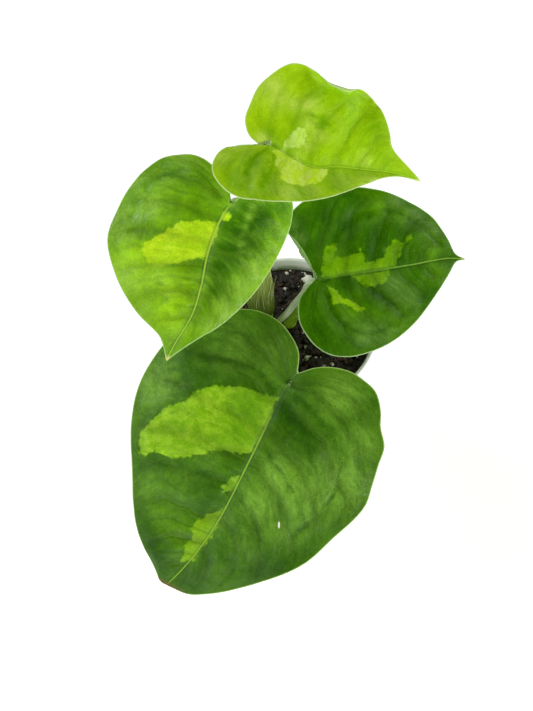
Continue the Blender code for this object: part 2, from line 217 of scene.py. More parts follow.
camera = {"place": (-7.246, -207.593, 354.362), "tilt": 33.0, "lens": 60.76, "sensor": 36.0,
          "nearest": 10.0}
bpy.ops.object.camera_add(location=[c * mm for c in camera["place"]],
                          rotation=(math.radians(camera["tilt"]), 0, 0))
eye = bpy.context.object
eye.name = "studioCamera"
eye.data.sensor_fit = "VERTICAL"
eye.data.sensor_height = camera["sensor"]
eye.data.lens = camera["lens"]
eye.data.clip_start = camera["nearest"] * mm
scene.camera = eye

studio = {     # places and sizes here are metres
    "floorSize": 6.0, "floorTint": "#FCFCFB", "worldTint": "#F8FAFF",
    "wallFrom": 0.60, "wallTo": 0.96,          # sideways share of a direction: dark to lit
    "rightShare": 0.35, "wallStrength": 1.20, "roofStrength": 0.04, "floorGlow": 0.50,
    "skirtFrom": 0.10, "skirtTo": 0.30, "skirtShare": 0.60,    # pale band above the table
    "lamps": [  # name, place, aimed at, width, height, watts, tint
        ("softboxFront", (0.58, -1.02, 0.42), (0, 0, 0.07), 0.70, 0.50, 9.4, "#FFFDF8"),
        ("softboxLeft", (-0.98, 0.32, 0.74), (0, 0, 0.08), 0.75, 0.65, 9.2, "#FFFFFF"),
        ("softboxRight", (1.02, 0.34, 0.52), (0, 0, 0.07), 0.60, 0.55, 5.0, "#FFFFFF"),
    ],
}
bpy.ops.mesh.primitive_plane_add(size=studio["floorSize"], location=(0, 0, 0))
floor = bpy.context.object
floor.name = "paleFloor"
# matt white paper, lit a little from beneath: only soft shadows show on it from here
paper, put = newMaterial("mattWhitePaper")
setSurface(paper, {"Base Color": studio["floorTint"], "Roughness": 0.9,
                   "Specular IOR Level": 0.1, "Emission Color": studio["floorTint"],
                   "Emission Strength": studio["floorGlow"]})
floor.data.materials.append(paper)

for lampName, place, target, width, height, watts, tint in studio["lamps"]:
    bpy.ops.object.light_add(type="AREA", location=place)
    lamp = bpy.context.object
    lamp.name = lampName
    lamp.data.shape = "RECTANGLE"
    lamp.data.size = width
    lamp.data.size_y = height
    lamp.data.energy = watts
    lamp.data.color = toLinear(tint)[:3]
    aim = Vector(target) - Vector(place)
    lamp.rotation_euler = aim.to_track_quat("-Z", "Y").to_euler()

# a tent of light: bright side walls and a dim roof, so that flat leaves keep their deep green
# and only turned ones shine
world = bpy.data.worlds.new("lightTent")
world.use_nodes = True
backdrop = world.node_tree.nodes["Background"]
put = partial(addNode, world.node_tree)
sky = put("SeparateXYZ", put("TexCoord").outputs["Generated"]).outputs
wallLeft = put(ease, sky["X"], -studio["wallFrom"], -studio["wallTo"])
wallRight = put(ease, sky["X"], studio["wallFrom"], studio["wallTo"], 0, studio["rightShare"])
skirt = put(ease, sky["Z"], studio["skirtFrom"], studio["skirtTo"], studio["skirtShare"], 0)
lit = put("Math MAXIMUM", put("Math MAXIMUM", wallLeft, wallRight), skirt)
feed(backdrop.inputs["Color"], studio["worldTint"])
feed(backdrop.inputs["Strength"],
     put("MapRange", lit, 0, 1, studio["roofStrength"], studio["wallStrength"]))
scene.world = world
scene.view_settings.view_transform = "Standard"
print("camera, floor and light are set")


# ---- leaves
# The blade's form is the one of the solids, cut finer, with its ribs, veins and roll added.
# Along runs from the stalk to the tip, across to the side called plus, both in millimetres.
# Patches are listed outlines of the lighter variegation on the flat leaf. Glows, shades
# and sheen spots are soft spots of along, across, size and strength, and arcs are bent creases.
# Glows and shades are partly the leaf's own lighter and darker green and partly painted light
# and painted shade; the sheen spots are painted sheen.

leafCommon = {
    "lobeBend": 5, "marginSteps": 150, "fanShare": 0.24,
    "ribSteps": 38,             # stations from the midrib to near the margin
    "ribEase": 1.35,            # crowds the stations at the midrib, for its narrow groove
    "rimStations": (0.985, 0.9925, 1.0),      # the last three, close together at the margin
    "thick": 0.34, "thickEdge": 0.16, "rimBulge": 0.06,
    "grooveDeep": 0.26, "grooveWide": 0.65,
    "shoulder": 0.05, "shoulderAt": 2.4, "shoulderWide": 1.7,      # beside the groove
    "quilt": 0.30, "quiltUneven": 0.9, "quiltSize": 11,
    "quiltFull": 6,             # vein spacing that gives a pillow its full height
    "arcDeep": 0.26, "arcWide": 0.9,
    "ripple": 0.50, "rippleSize": 15, "rippleFine": 0.16, "rippleFineSize": 4.5,
    "veinWander": ((0.22, 12, 3), (0.08, 4, 5)),      # share of the spacing, size, seed
    "veinSpan": 14,             # the most that one vein's spacing is taken to cover
    "far": 20.0,                # distance given to places with no patch or crease
}

leaves = {
    "leafFront": {
        "node": "leaf_front", "slot": "leaf_dark", "base": (-1.4, -27, 60.2), "heading": -122,
        "droop": 31, "bank": -8, "bend": 24, "rise": (5, 5), "curl": (16, 16), "halfWidth": 38,
        "lobe": 18, "notch": (-4.6, 1.1),
        "midrib": [(22, 0), (44, -0.5), (56, -2.2), (66, -4.6), (73.4, -7)],
        "plus": [(-8.4, 5), (-10.8, 9.4), (-12, 14.6), (-11.6, 18.8), (-10.2, 23.4), (-6, 27.2),
            (-2, 29.2), (2.6, 32.8), (7.8, 33.7), (14.5, 34.8), (21.2, 35.6), (33.6, 31.6),
            (44.4, 27.6), (56.6, 18.2), (67.8, 6.6), (72.2, 0), (73, -4.4)],
        "minus": [(-10.2, -1.4), (-13.4, -5.6), (-15.4, -10.2), (-15.8, -14.8), (-15, -19.8),
            (-11, -27), (-4, -34), (6.8, -38.8), (19.6, -40.3), (32, -37), (45.2, -30.6),
            (60.8, -21.8), (69.6, -12.6), (73, -9.2)],
        "waves": [(0.8, 23, 0.4, 1), (0.5, 31, 1.6, -1)],
        "veins": 10, "veinSweep": (0.2, 0.1), "ribSeen": (6, 20), "ribWide": 1.15,
        "waxShine": 0.36, "arcSeen": 0.6, "patchShade": 0.85, "coarse": 1,
        "patches": [
            [(4.4, -0.8), (5.2, -6.4), (6.2, -12), (8.6, -17.2), (12.2, -22.2), (15.4, -24.2),
             (17.6, -24.6), (21.8, -29.8), (27, -31), (32.8, -33.4), (38.8, -31.2), (38.6, -29.2),
             (35.4, -26.4), (34.6, -20.6), (31.4, -15.6), (26, -9.8), (24.8, -5.6), (22.6, -0.6),
             (17.2, 0), (10.2, 0)],
            [(29.6, -0.6), (32.6, -3.2), (35.6, -3.8), (36.6, -2.4), (34.8, -0.2), (32.2, 0)]],
        "faintPatches": [
            [(40, -0.4), (42.4, -1.6), (44.8, -4.4), (48.4, -6.4), (51.8, -6.8), (53.2, -5.4),
             (57, -6.4), (63, -5.6), (61, -2.8), (54.4, -1), (48.6, 0)]],
        "glows": [(55, -11, 6, 0.35), (51, -17, 6, 0.2), (61, -5, 5, 0.3), (62, 5, 6, 0.2),
            (14, 3, 5, 0.3), (22, 12, 4, 0.3), (-6, 12, 6, 0.3)],
        "shades": [(9, 6, 7, 0.9), (13, 15, 6, 0.8), (22, 5, 4, 0.5), (52, 20, 9, 0.8),
            (11, -7, 7, 0.95), (19, -6, 5, 0.7), (24, -6, 4, 0.5), (66, 0, 6, 0.6),
            (64, -14, 5, 0.7), (2, -13, 6, 0.35), (6, -27, 7, 0.7), (43, 26, 5, 0.6),
            (4, -5, 5, 0.6), (30, 27, 5, 0.3), (38, -5, 5, 0.3)],
        "paintedSheenSpots": [(18, -36, 8, 0.85), (30, -36, 6, 0.4), (-6, -20, 9, 0.6), (-8, -8, 8, 0.5),
            (40, -16, 9, 0.25), (47, -23, 8, 0.35), (30, -11, 5, 0.35), (25, 10, 7, 0.9),
            (34, 8, 7, 0.85), (18, 27, 9, 0.85), (26, 19, 9, 0.85), (37, 16, 8, 0.5),
            (46, 9, 7, 0.35), (-5, 15, 7, 0.85), (4, 27, 7, 0.7), (44, 1, 5, 0.4)],
        "arcs": [
            [(1, 4), (4, 12), (8, 20), (13, 24), (19, 26), (28, 25.5), (38, 21)],
            [(3, -3), (0, -9), (1, -18), (4, -26)],
            [(19, 3), (23, 10), (28, 18), (34, 23)]],
        "flecks": [(37.2, 16, 25, 0.3, 1.1)],
        "deep": "#2D5D00", "mid": "#3F7200", "light": "#5C930C", "shade": "#214A00",
        "paintedSheen": "#82B43C", "glow": "#74A604", "patch": "#7CB206", "patchPale": "#A2D028",
        "faint": "#88B80E", "rib": "#92C22C", "edge": "#A8CC6C", "under": "#7E9E58",
        "tip": "#6A5A2A"
    },
    "leafLeft": {
        "node": "leaf_left", "slot": "leaf_mid", "base": (-17.2, 11.2, 95.8), "heading": -112,
        "droop": 27, "bank": -2, "bend": 18, "rise": (2, 8), "curl": (56, 16), "halfWidth": 28,
        "lobe": 12, "notch": (-0.6, -0.2),
        "midrib": [(4, -1.1), (15, -1.6), (25, -0.5), (33, -0.5), (43, -3), (48.2, -4)],
        "plus": [(-0.9, 1), (-2.4, 1.8), (-6.5, 3.8), (-10, 8.4), (-10, 13.6), (-6.8, 16.8),
            (-3.2, 17.8), (2.8, 18.4), (12.8, 17.2), (24, 13.6), (34, 7.8), (38.4, 3.8),
            (45.2, -1.8)],
        "minus": [(-2.2, -0.7), (-5.6, -4.6), (-9, -9.4), (-10, -14.6), (-8.8, -19.2),
            (-6.4, -23.6), (-1.8, -26.8), (2.4, -28.6), (9, -30.8), (19.6, -30.9), (29.2, -25.6),
            (37.2, -16.2), (41.8, -7.8), (43.8, -6.2)],
        "waves": [(0.7, 19, 0.9, -1)],
        "veins": 9, "veinSweep": (0.2, 0.14), "ribSeen": (-1, 4), "ribWide": 0.72,
        "waxShine": 0.34, "arcSeen": 0.3, "patchShade": 0.4, "coarse": 0.85,
        "patches": [
            [(5.8, -1.2), (7.8, -7.2), (9.4, -12.2), (12.2, -14.4), (14.8, -16.4), (17.2, -19),
             (19.4, -19.8), (22, -18.8), (23.4, -16.8), (23.2, -13.2), (21.4, -9.6), (18.8, -5.8),
             (16.6, -1.6), (12.4, -1), (8.4, -1)],
            [(3.2, -1.4), (2.2, 0.6), (3.4, 1.6), (5, 1), (5.4, -1)]],
        "faintPatches": [],
        "glows": [(29, -8, 7, 0.95), (35, -7, 6, 0.95), (24, -20, 8, 0.9), (17, -26, 5, 0.5),
            (10, 15, 5, 0.6), (1, 15, 4, 0.3), (38, -1, 4, 0.4), (10, -17, 5, 0.3)],
        "shades": [(3, 8, 7, 1), (10, 7, 7, 1), (10, 12, 5, 0.6), (17, 3, 6, 1), (24, 4, 5, 0.95),
            (31, 1.5, 4, 0.6), (0, -6, 5, 0.6), (-6, -9, 6, 0.5), (-2, -14, 4, 0.4),
            (4, -9, 4, 0.55), (21, -5, 5, 0.5), (14, -23, 4, 0.4), (27, -3, 4, 0.45),
            (6, -14, 4, 0.3)],
        "paintedSheenSpots": [(16, 12, 3.4, 0.7), (22, 10.5, 3.6, 0.75), (29, 8.5, 3.6, 0.8),
            (35, 5, 3, 0.6), (-1, 6.2, 1.3, 0.6), (2, 6.2, 1.1, 0.6), (5, 6.1, 0.9, 0.4),
            (7.4, 6.1, 0.9, 0.45), (10, 6.5, 1, 0.4), (12.4, 7.2, 1.1, 0.45),
            (-4, 7.5, 2.6, 0.45), (1, -22, 4, 0.5), (7, -23, 5, 0.55), (10, -29, 4, 0.45),
            (19, -28, 4, 0.5), (30, -21, 6, 0.75), (37, -14, 4, 0.6), (26, -13, 4, 0.5),
            (-6, -18, 5, 0.4), (41, -5, 4, 0.4)],
        "arcs": [
            [(-1, -4), (-5, -10), (-5, -16), (-1, -22), (5, -25), (12, -26)],
            [(12, 2), (12, 6), (13, 10)],
            [(24, -1), (27, -7), (28, -13)],
            [(17, 2), (20, 6), (23, 9)]],
        "flecks": [],
        "deep": "#529205", "mid": "#7CB609", "light": "#A4D622", "shade": "#265600",
        "paintedSheen": "#A0D046", "glow": "#A2D818", "patch": "#B2E004", "patchPale": "#CFF222",
        "faint": "#B1DE03", "rib": "#B0DA38", "edge": "#B9DC8A", "under": "#8FB45C",
        "tip": "#E8E38A"
    },
    "leafRight": {
        "node": "leaf_right", "slot": "leaf_dark", "base": (7.7, 0.3, 74.4), "heading": 12,
        "droop": 4, "bank": 27, "bend": 16, "rise": (6, 6), "curl": (14, 14), "halfWidth": 24,
        "lobe": 9, "notch": (-1, 0.3),
        "midrib": [(5, 0.2), (18.8, 0.8), (30, 1.4), (42, 2.3), (48.4, 1.6)],
        "plus": [(-1.6, 4.8), (-4.4, 11.6), (-6.6, 15), (-6, 19), (-3.4, 22), (3, 25.4),
            (10, 26.8), (16.4, 26.6), (21.2, 25.4), (29.8, 22), (38, 16.2), (41, 12.2),
            (43.4, 7.6), (44.9, 3.6)],
        "minus": [(-4.2, -2.3), (-6.4, -5), (-7.2, -8), (-7.2, -12), (-5.4, -16.4), (-3.2, -19.5),
            (0, -22), (4, -23.2), (8.4, -23.4), (18.2, -21.2), (27.6, -15.8), (37.4, -6.6),
            (41.8, -2), (44.8, 1)],
        "waves": [(0.6, 20, 0.2, 1)],
        "veins": 8, "veinSweep": (0.2, 0.2), "ribSeen": (8, 34), "ribWide": 0.5, "waxShine": 0.11,
        "arcSeen": 0.45, "patchShade": 0.3, "coarse": 1,
        "patches": [
            [(2.2, -1.8), (5, -4), (6.2, -6.6), (8.6, -7.2), (12.4, -10.2), (9.6, -10.6),
             (6.4, -8), (3, -7.2)]],
        "faintPatches": [
            [(0.8, 0.2), (3, 8.2), (6.6, 10.6), (7.6, 9.8), (5.4, 5.8), (10.8, 5.8), (14, 7.2),
             (14.8, 5.8), (14.8, 3.4), (18.6, 3.6), (21.2, 5.2), (22.2, 7.6), (26.2, 9),
             (28.2, 8.4), (31.2, 10.8), (31, 9.6), (27.6, 7), (25.6, 4.4), (24, 1.4), (19, 0.8),
             (7.8, 0.2)],
            [(10, 0.3), (21.8, 0.8), (21.8, -1.4), (19.2, -3.6), (14, -3.6)]],
        "glows": [(23, 20.5, 5, 0.7), (30, 16.5, 4, 0.4), (36, 6, 6, 0.6), (38, -1, 5, 0.6),
            (8, -11, 5, 0.5), (22, -14, 5, 0.5), (14, -13, 4, 0.4), (12, 11, 4, 0.2),
            (0, 22, 4, 0.3), (6, 5, 5, 0.4)],
        "shades": [(11, 14, 5, 0.8), (19, 12, 5, 0.7), (4, 19, 5, 0.6), (27, 4, 3, 0.8),
            (31, 4, 3, 0.6), (16, -6, 4, 0.8), (21, -9, 4, 0.6), (3, -14, 5, 0.4),
            (33, 12, 4, 0.5), (9, -2.5, 2.5, 0.5)],
        "paintedSheenSpots": [(23, -4, 3.4, 0.65), (26, -8, 4, 0.45), (12, -18, 4.5, 0.5), (17, -19, 4, 0.4),
            (33, 16.5, 3.2, 0.55), (38, 12, 2.8, 0.55), (-3.5, 13, 2.2, 0.75), (-5, 17, 2.6, 0.5),
            (28, 20.5, 3, 0.4)],
        "arcs": [
            [(4, 8), (8, 13), (14, 16.5), (22, 18.5), (29, 16.5), (36, 11), (40, 7)],
            [(2, -5), (4, -12), (9, -16.5), (17, -17), (24, -13)],
            [(13, -2), (17, -6), (22, -10), (26, -12)]],
        "flecks": [],
        "deep": "#2C5F00", "mid": "#3E7500", "light": "#5A9404", "shade": "#1E4800",
        "paintedSheen": "#769E46", "glow": "#659C04", "patch": "#8CC206", "patchPale": "#A2D214",
        "faint": "#78AC08", "rib": "#8ABA40", "edge": "#B4D690", "under": "#7E9E58",
        "tip": "#C8B868"
    },
    "leafTop": {
        "node": "leaf_top", "slot": "leaf_lime", "base": (-6.3, 19.5, 110.8), "heading": -12,
        "droop": 8, "bank": 10, "bend": 20, "rise": (22, 22), "curl": (10, 10), "halfWidth": 23,
        "lobe": 13, "notch": (-3, -1),
        "midrib": [(5, -1.4), (12.4, -3.2), (20, -0.6), (28.4, 1.8), (35.6, 4), (44.4, 5.2)],
        "plus": [(-6, 0.6), (-8.2, 4.8), (-8, 9.8), (-7, 15), (-4.8, 18.2), (0.2, 23.2),
            (3.4, 24.4), (7.2, 22.3), (11.2, 19.6), (15.4, 19.5), (19.6, 21.6), (25.2, 19.8),
            (30.6, 13.8), (32.8, 10.4), (37.6, 8)],
        "minus": [(-9.4, -3), (-12.2, -5.2), (-13.5, -9.4), (-13, -13), (-10.6, -16.6),
            (-6.2, -20.2), (-1, -22.3), (4.8, -21.4), (17.6, -14.4), (27.8, -4.8), (32.6, 0.2),
            (38, 3.6)],
        "waves": [(1.2, 17, 2.6, 1), (0.5, 24, 0, -1)],
        "veins": 9, "veinSweep": (0.16, 0.16), "ribSeen": (4, 20), "ribWide": 0.7, "waxShine": 0.2,
        "arcSeen": 0.55, "patchShade": 0.1, "coarse": 0.6,
        "patches": [
            [(1, -2.4), (2.2, -4.4), (3.2, -8.2), (4.6, -10.4), (5.4, -13.4), (7, -14.2),
             (9.2, -13.4), (12.2, -12.2), (14.8, -10), (16.2, -7.4), (17.4, -2.6), (12.4, -3.2),
             (7.2, -2), (3.6, -0.8)]],
        "faintPatches": [
            [(3.6, 0.2), (3.8, 1.8), (4.8, 4.2), (6.2, 6.4), (8.4, 7.2), (9.2, 4.4), (8.9, 2),
             (7, 0.4)]],
        "glows": [(-4, 10, 8, 0.6), (0, 17, 6, 0.6), (12, 6, 6, 0.3), (20, 4, 5, 0.3),
            (3, 5, 4, 0.5)],
        "shades": [(-3, -8, 5, 0.9), (-5, -14, 5, 0.8), (1, -13, 4, 0.8), (0, -4, 3, 0.6),
            (-9, -10, 5, 0.5), (3, -18, 6, 0.8), (21, -8, 6, 0.8), (12, -16, 6, 0.8),
            (28, -2, 5, 0.5), (0, 2.5, 2.5, 0.6), (12, 9.5, 2, 0.6), (27, 12, 6, 0.5),
            (20, 14, 6, 0.4), (17, 16, 5, 0.4), (30, 6, 4, 0.4), (9, 18, 4, 0.4), (5, 8, 3, 0.3)],
        "paintedSheenSpots": [(-3, 15.5, 3, 0.7), (-1, 12.5, 3, 0.6), (3.5, 12.5, 2, 0.6),
            (7.5, 13, 2.2, 0.7), (9, 8.3, 1.8, 0.5), (12, 5.5, 2.4, 0.4), (8, -1, 2, 0.3),
            (22, -5.8, 4, 0.35), (28, -3, 4, 0.35), (-9, -2.6, 3, 0.6), (-12, -8, 3, 0.5),
            (8, -17, 3, 0.6), (14, -13, 3, 0.4), (-2.6, 0.6, 1.8, 0.9), (26, 4, 2, 0.4),
            (10, 2, 2, 0.5)],
        "arcs": [
            [(8, 11), (11, 10), (14, 9)],
            [(9, 9.2), (12, 8.2), (15, 7.8)],
            [(0, -2), (-3, -7), (-4, -13)],
            [(2, -4), (2, -10), (1, -17)]],
        "flecks": [],
        "roll": {"from": 0.38, "to": 0.7, "length": 2.6, "angle": 170, "extra": 1.5},
        "deep": "#94C802", "mid": "#ACDE08", "light": "#C0EA26", "shade": "#5E9E02",
        "paintedSheen": "#D6F066", "glow": "#BCEA10", "patch": "#C8F222", "patchPale": "#EAFF7A",
        "faint": "#DAFF7C", "rib": "#B8E424", "edge": "#D4EEA0", "under": "#C2DE90",
        "tip": "#DDE8A0"
    },
}


def bladeAxes(leaf):
    heading, droop, bank = (math.radians(leaf[k]) for k in ("heading", "droop", "bank"))
    flat = Vector((math.cos(heading), math.sin(heading), 0))
    up = Vector((0, 0, 1))
    along = flat * math.cos(droop) - up * math.sin(droop)
    normal = flat * math.sin(droop) + up * math.cos(droop)
    across = normal.cross(along)
    return (along, across * math.cos(bank) + normal * math.sin(bank),
            normal * math.cos(bank) - across * math.sin(bank))


def arcSteps(length, turn, start):
    turn = np.where(np.abs(turn) > 1e-6, turn, 1e-6)
    end = start - turn * length
    return (np.sin(start) - np.sin(end)) / turn, (np.cos(end) - np.cos(start)) / turn


def midlineAt(midline, along):
    first, second = midline[0], midline[1]
    before = first[1] + (along - first[0]) * (second[1] - first[1]) / (second[0] - first[0])
    return np.where(along < first[0], before, np.interp(along, midline[:, 0], midline[:, 1]))


def bladePlaces(leaf, midline, half, along, across, relief):
    # the same folds, bends and waves as the solid, with the fine relief on top
    axisAlong, axisAcross, axisNormal = (np.array(a) for a in bladeAxes(leaf))
    ahead = along >= 0
    reach = np.where(ahead, leaf["midrib"][-1][0], leaf["lobe"])
    rate = np.radians(np.where(ahead, leaf["bend"], leafCommon["lobeBend"])) / reach
    run, sink = arcSteps(np.abs(along), rate, 0.0)
    slope = -rate * along
    middle = midlineAt(midline, along)
    fade = np.where(ahead, 1.0, 1.0 + 0.5 * along / leaf["lobe"])
    width = np.abs(across - middle)
    out, lift = arcSteps(width, np.radians(leaf["curl"][half]) / leaf["halfWidth"],
                         np.radians(leaf["rise"][half]) * fade)
    for height, length, phase, side in leaf["waves"]:
        if side == (1, -1)[half]:
            lift = lift + (height * (width / leaf["halfWidth"]) ** 2
                           * np.sin(2 * np.pi * along / length + phase))
    lift = lift + relief
    x = np.sign(along) * run - np.sin(slope) * lift
    z = sink + np.cos(slope) * lift
    y = middle + (out if half == 0 else -out)
    return (np.array(leaf["base"]) + x[..., None] * axisAlong + y[..., None] * axisAcross
            + z[..., None] * axisNormal)


def lineGap(line, along, across):
    # distance to a line through the given points
    best = np.full(along.shape, 1e9)
    for (ax, ay), (bx, by) in zip(line, line[1:]):
        dx, dy = bx - ax, by - ay
        share = np.clip(((along - ax) * dx + (across - ay) * dy)
                        / max(dx * dx + dy * dy, 1e-9), 0, 1)
        best = np.minimum(best, np.hypot(along - ax - share * dx, across - ay - share * dy))
    return best


def depthIn(polygon, along, across):
    # signed distance to a closed outline, positive inside
    closed = polygon + polygon[:1]
    gap = lineGap(closed, along, across)
    inside = np.zeros(along.shape, bool)
    for (ax, ay), (bx, by) in zip(closed, closed[1:]):
        crosses = (ay > across) != (by > across)
        where = ax + (across - ay) * (bx - ax) / (by - ay if by - ay else 1e-9)
        inside ^= crosses & (along < where)
    return np.where(inside, gap, -gap)


def noiseField(along, across, scale, seed):
    flat = [noise.noise(Vector((a / scale, b / scale, seed)))
            for a, b in zip(along.ravel(), across.ravel())]
    return np.array(flat).reshape(along.shape)


def rollMargin(places, amount, roll, side):
    # turns the outer few millimetres of each row up and over
    for row, share in zip(places, amount):
        if share < 0.02:
            continue
        steps = np.linalg.norm(np.diff(row, axis=0), axis=1)
        gone = np.concatenate([[0], np.cumsum(steps)])
        start = gone[-1] - roll["length"]
        first = np.searchsorted(gone, start) - 1
        outward = row[first + 1] - row[first]
        outward /= np.linalg.norm(outward)
        root = row[first] + outward * (start - gone[first])
        normal = np.cross(outward, side)
        normal = np.cross(side, outward) if normal[2] < 0 else normal
        normal /= np.linalg.norm(normal)
        radius = roll["length"] / (math.radians(roll["angle"]) * share)
        for k in range(first + 1, len(row)):
            turn = (gone[k] - start) / radius
            row[k] = (root + outward * radius * math.sin(turn)
                      + normal * radius * (1 - math.cos(turn)))


def bladeRelief(leaf, seed, along, across, fields, outer):
    # pillows between the side veins, sunken creases and midrib, and slow ripples, in mm
    common = leafCommon
    ribGap, arcGap = fields["ribGap"], fields["arcGap"]
    toVein = np.abs(fields["veinRun"] - np.round(fields["veinRun"]))
    uneven = 1 + 2 * common["quiltUneven"] * noiseField(along, across, common["quiltSize"],
                                                        seed + 11)
    relief = (common["quilt"] * np.sin(np.pi * toVein)
              * np.clip(fields["veinScale"] / common["quiltFull"], 0, 1)
              * smoothStep(ribGap, 0.5, 5) * outer * uneven)
    relief -= common["arcDeep"] * np.exp(-(arcGap / common["arcWide"]) ** 2)
    toTip = np.clip(1 - along / leaf["midrib"][-1][0], 0, 1)
    groove = common["grooveWide"] * (0.45 + 0.55 * toTip)
    relief -= common["grooveDeep"] * (0.3 + 0.7 * toTip) * np.exp(-(ribGap / groove) ** 2)
    relief += (common["shoulder"] * (ribGap > 0)
               * np.exp(-((ribGap - common["shoulderAt"]) / common["shoulderWide"]) ** 2))
    relief += (common["ripple"] * noiseField(along, across, common["rippleSize"], seed)
               * smoothStep(ribGap, 0, 6))
    relief += common["rippleFine"] * noiseField(along, across, common["rippleFineSize"], seed + 7)
    return relief


leafFields = ("ribGap", "edgeGap", "veinRun", "veinScale", "patch", "faintPatch", "glow",
              "shade", "paintedSheen", "arcGap", "under", "along", "across")


def makeLeaf(name, leaf, seed):
    common = leafCommon
    tip = leaf["midrib"][-1]
    midline = smoothFlat([leaf["notch"], (0, 0)] + leaf["midrib"], 120)
    count = common["marginSteps"]
    marginShare = np.linspace(0, 1, count)
    stations = np.linspace(0, 1, common["ribSteps"]) ** common["ribEase"]
    stations = np.concatenate([stations * common["rimStations"][0], common["rimStations"][1:]])
    bm = bmesh.new()
    layers = {key: bm.verts.layers.float.new(key) for key in leafFields}
    for half, side in enumerate(("plus", "minus")):
        outline = smoothFlat([leaf["notch"]] + leaf[side] + [tip], count)
        roll = leaf.get("roll") if half == 0 else None
        if roll:
            middle = (roll["from"] + roll["to"]) / 2
            reach = (roll["to"] - roll["from"]) / 2
            amount = 1 - smoothStep(np.abs(marginShare - middle), 0.15 * reach, reach)
            outline = outline + np.stack([np.zeros(count), roll["extra"] * amount], 1)
        ribShare = np.maximum(0, (marginShare - common["fanShare"]) / (1 - common["fanShare"]))
        ribAlong = tip[0] * ribShare
        rib = np.stack([ribAlong, midlineAt(midline, ribAlong)], 1)
        flat = rib[:, None, :] + (outline - rib)[:, None, :] * stations[None, :, None]
        along, across = flat[..., 0], flat[..., 1]
        width = np.abs(across - midlineAt(midline, along))
        ribGap = np.where(along >= 0, width, np.hypot(along, across))
        veinRun = ((marginShare[:, None] - leaf["veinSweep"][half] * stations[None, :] ** 1.5)
                   * leaf["veins"])
        for size, wide, shift in common["veinWander"]:
            veinRun = veinRun + size * noiseField(along, across, wide, seed + shift)
        # how many millimetres one vein's spacing covers at each place
        xi, xk = np.gradient(along)
        yi, yk = np.gradient(across)
        vi, vk = np.gradient(veinRun)
        area = xi * yk - xk * yi
        area = np.where(np.abs(area) > 1e-7, area, 1e-7)
        steep = np.hypot((vi * yk - vk * yi) / area, (xi * vk - xk * vi) / area)
        most = common["veinSpan"]
        veinScale = np.clip(1 / np.maximum(steep, 1e-6), 0, most)
        veinScale = np.minimum(veinScale, ribGap + 0.5 + most * (ribAlong[:, None] > 0))

        nowhere = np.full(along.shape, -common["far"])
        arcs = [lineGap(smoothFlat(line, 24), along, across) for line in leaf["arcs"]]
        fields = {"ribGap": ribGap, "edgeGap": lineGap(outline, along, across),
                  "veinRun": veinRun, "veinScale": veinScale,
                  "arcGap": np.minimum.reduce([-nowhere] + arcs),
                  "under": np.zeros(along.shape), "along": along, "across": across}
        for key, outlines in (("patch", "patches"), ("faintPatch", "faintPatches")):
            depths = [depthIn(polygon, along, across) for polygon in leaf[outlines]]
            fields[key] = np.maximum.reduce([nowhere] + depths)
        for key, spots in (("glow", "glows"), ("shade", "shades"), ("paintedSheen", "paintedSheenSpots")):
            fields[key] = np.zeros(along.shape)
            for centreAlong, centreAcross, size, strength in leaf[spots]:
                far = np.hypot(along - centreAlong, across - centreAcross) / size
                fields[key] = np.maximum(fields[key], strength * np.exp(-far ** 2))
        outer = 1 - smoothStep(stations[None, :], 0.72, 1.0)
        relief = bladeRelief(leaf, seed, along, across, fields, outer)
        places = bladePlaces(leaf, midline, half, along, across, relief)
        if roll:
            rollMargin(places, amount, roll, np.array(bladeAxes(leaf)[0]))

        rows = []
        for i in range(count):
            row = []
            for k in range(len(stations)):
                vert = bm.verts.new(Vector(places[i, k]) * mm)
                for key in leafFields:
                    vert[layers[key]] = float(fields[key][i, k])
                row.append(vert)
            rows.append(row)
        for a, b in zip(rows, rows[1:]):
            for k in range(len(stations) - 1):
                corners = [a[k], a[k + 1], b[k + 1], b[k]]
                bm.faces.new(corners if side == "minus" else corners[::-1])
    bmesh.ops.remove_doubles(bm, verts=bm.verts, dist=0.02 * mm)
    closeBlade(bm, layers, leaf, tip)
    piece = meshObject(name, bm)
    piece.data.shade_smooth()
    return piece


def closeBlade(bm, layers, leaf, tip):
    # a second surface beneath, thicker along the midrib, and a rounded rim between the two
    bm.normal_update()
    tops = list(bm.verts)
    faces = list(bm.faces)
    rim = [(edge.link_loops[0].vert, edge.link_loops[0].link_loop_next.vert)
           for edge in bm.edges if edge.is_boundary]
    below = {}
    for vert in tops:
        edgeGap = vert[layers["edgeGap"]]
        ribGap = vert[layers["ribGap"]]
        toTip = min(1, max(0, 1 - vert[layers["along"]] / tip[0]))
        thick = leafCommon["thickEdge"] + leafCommon["thick"] * (1 - math.exp(-edgeGap / 0.8))
        ridge = leaf["ribWide"] * (0.3 + 0.7 * toTip)
        thick += ridge * math.exp(-(ribGap / (ridge + 0.15)) ** 2) * min(1, edgeGap / 2)
        below[vert] = bm.verts.new(vert.co - vert.normal * thick * mm, vert)
        below[vert][layers["under"]] = 1.0
    for face in faces:
        bm.faces.new([below[v] for v in reversed(face.verts)])
    outer = {}
    for a, b in rim:
        for vert in (a, b):
            if vert not in outer:
                mid = bm.verts.new((vert.co + below[vert].co) / 2, vert)
                mid[layers["under"]] = 0.0
                outer[vert] = [mid, Vector()]
        outward = (b.co - a.co).normalized().cross((a.normal + b.normal).normalized())
        outer[a][1] += outward
        outer[b][1] += outward
    for mid, outward in outer.values():
        if outward.length > 0:
            mid.co += outward.normalized() * leafCommon["rimBulge"] * mm
    for a, b in rim:
        bm.faces.new([b, a, outer[a][0], outer[b][0]])
        bm.faces.new([outer[b][0], outer[a][0], below[a], below[b]])


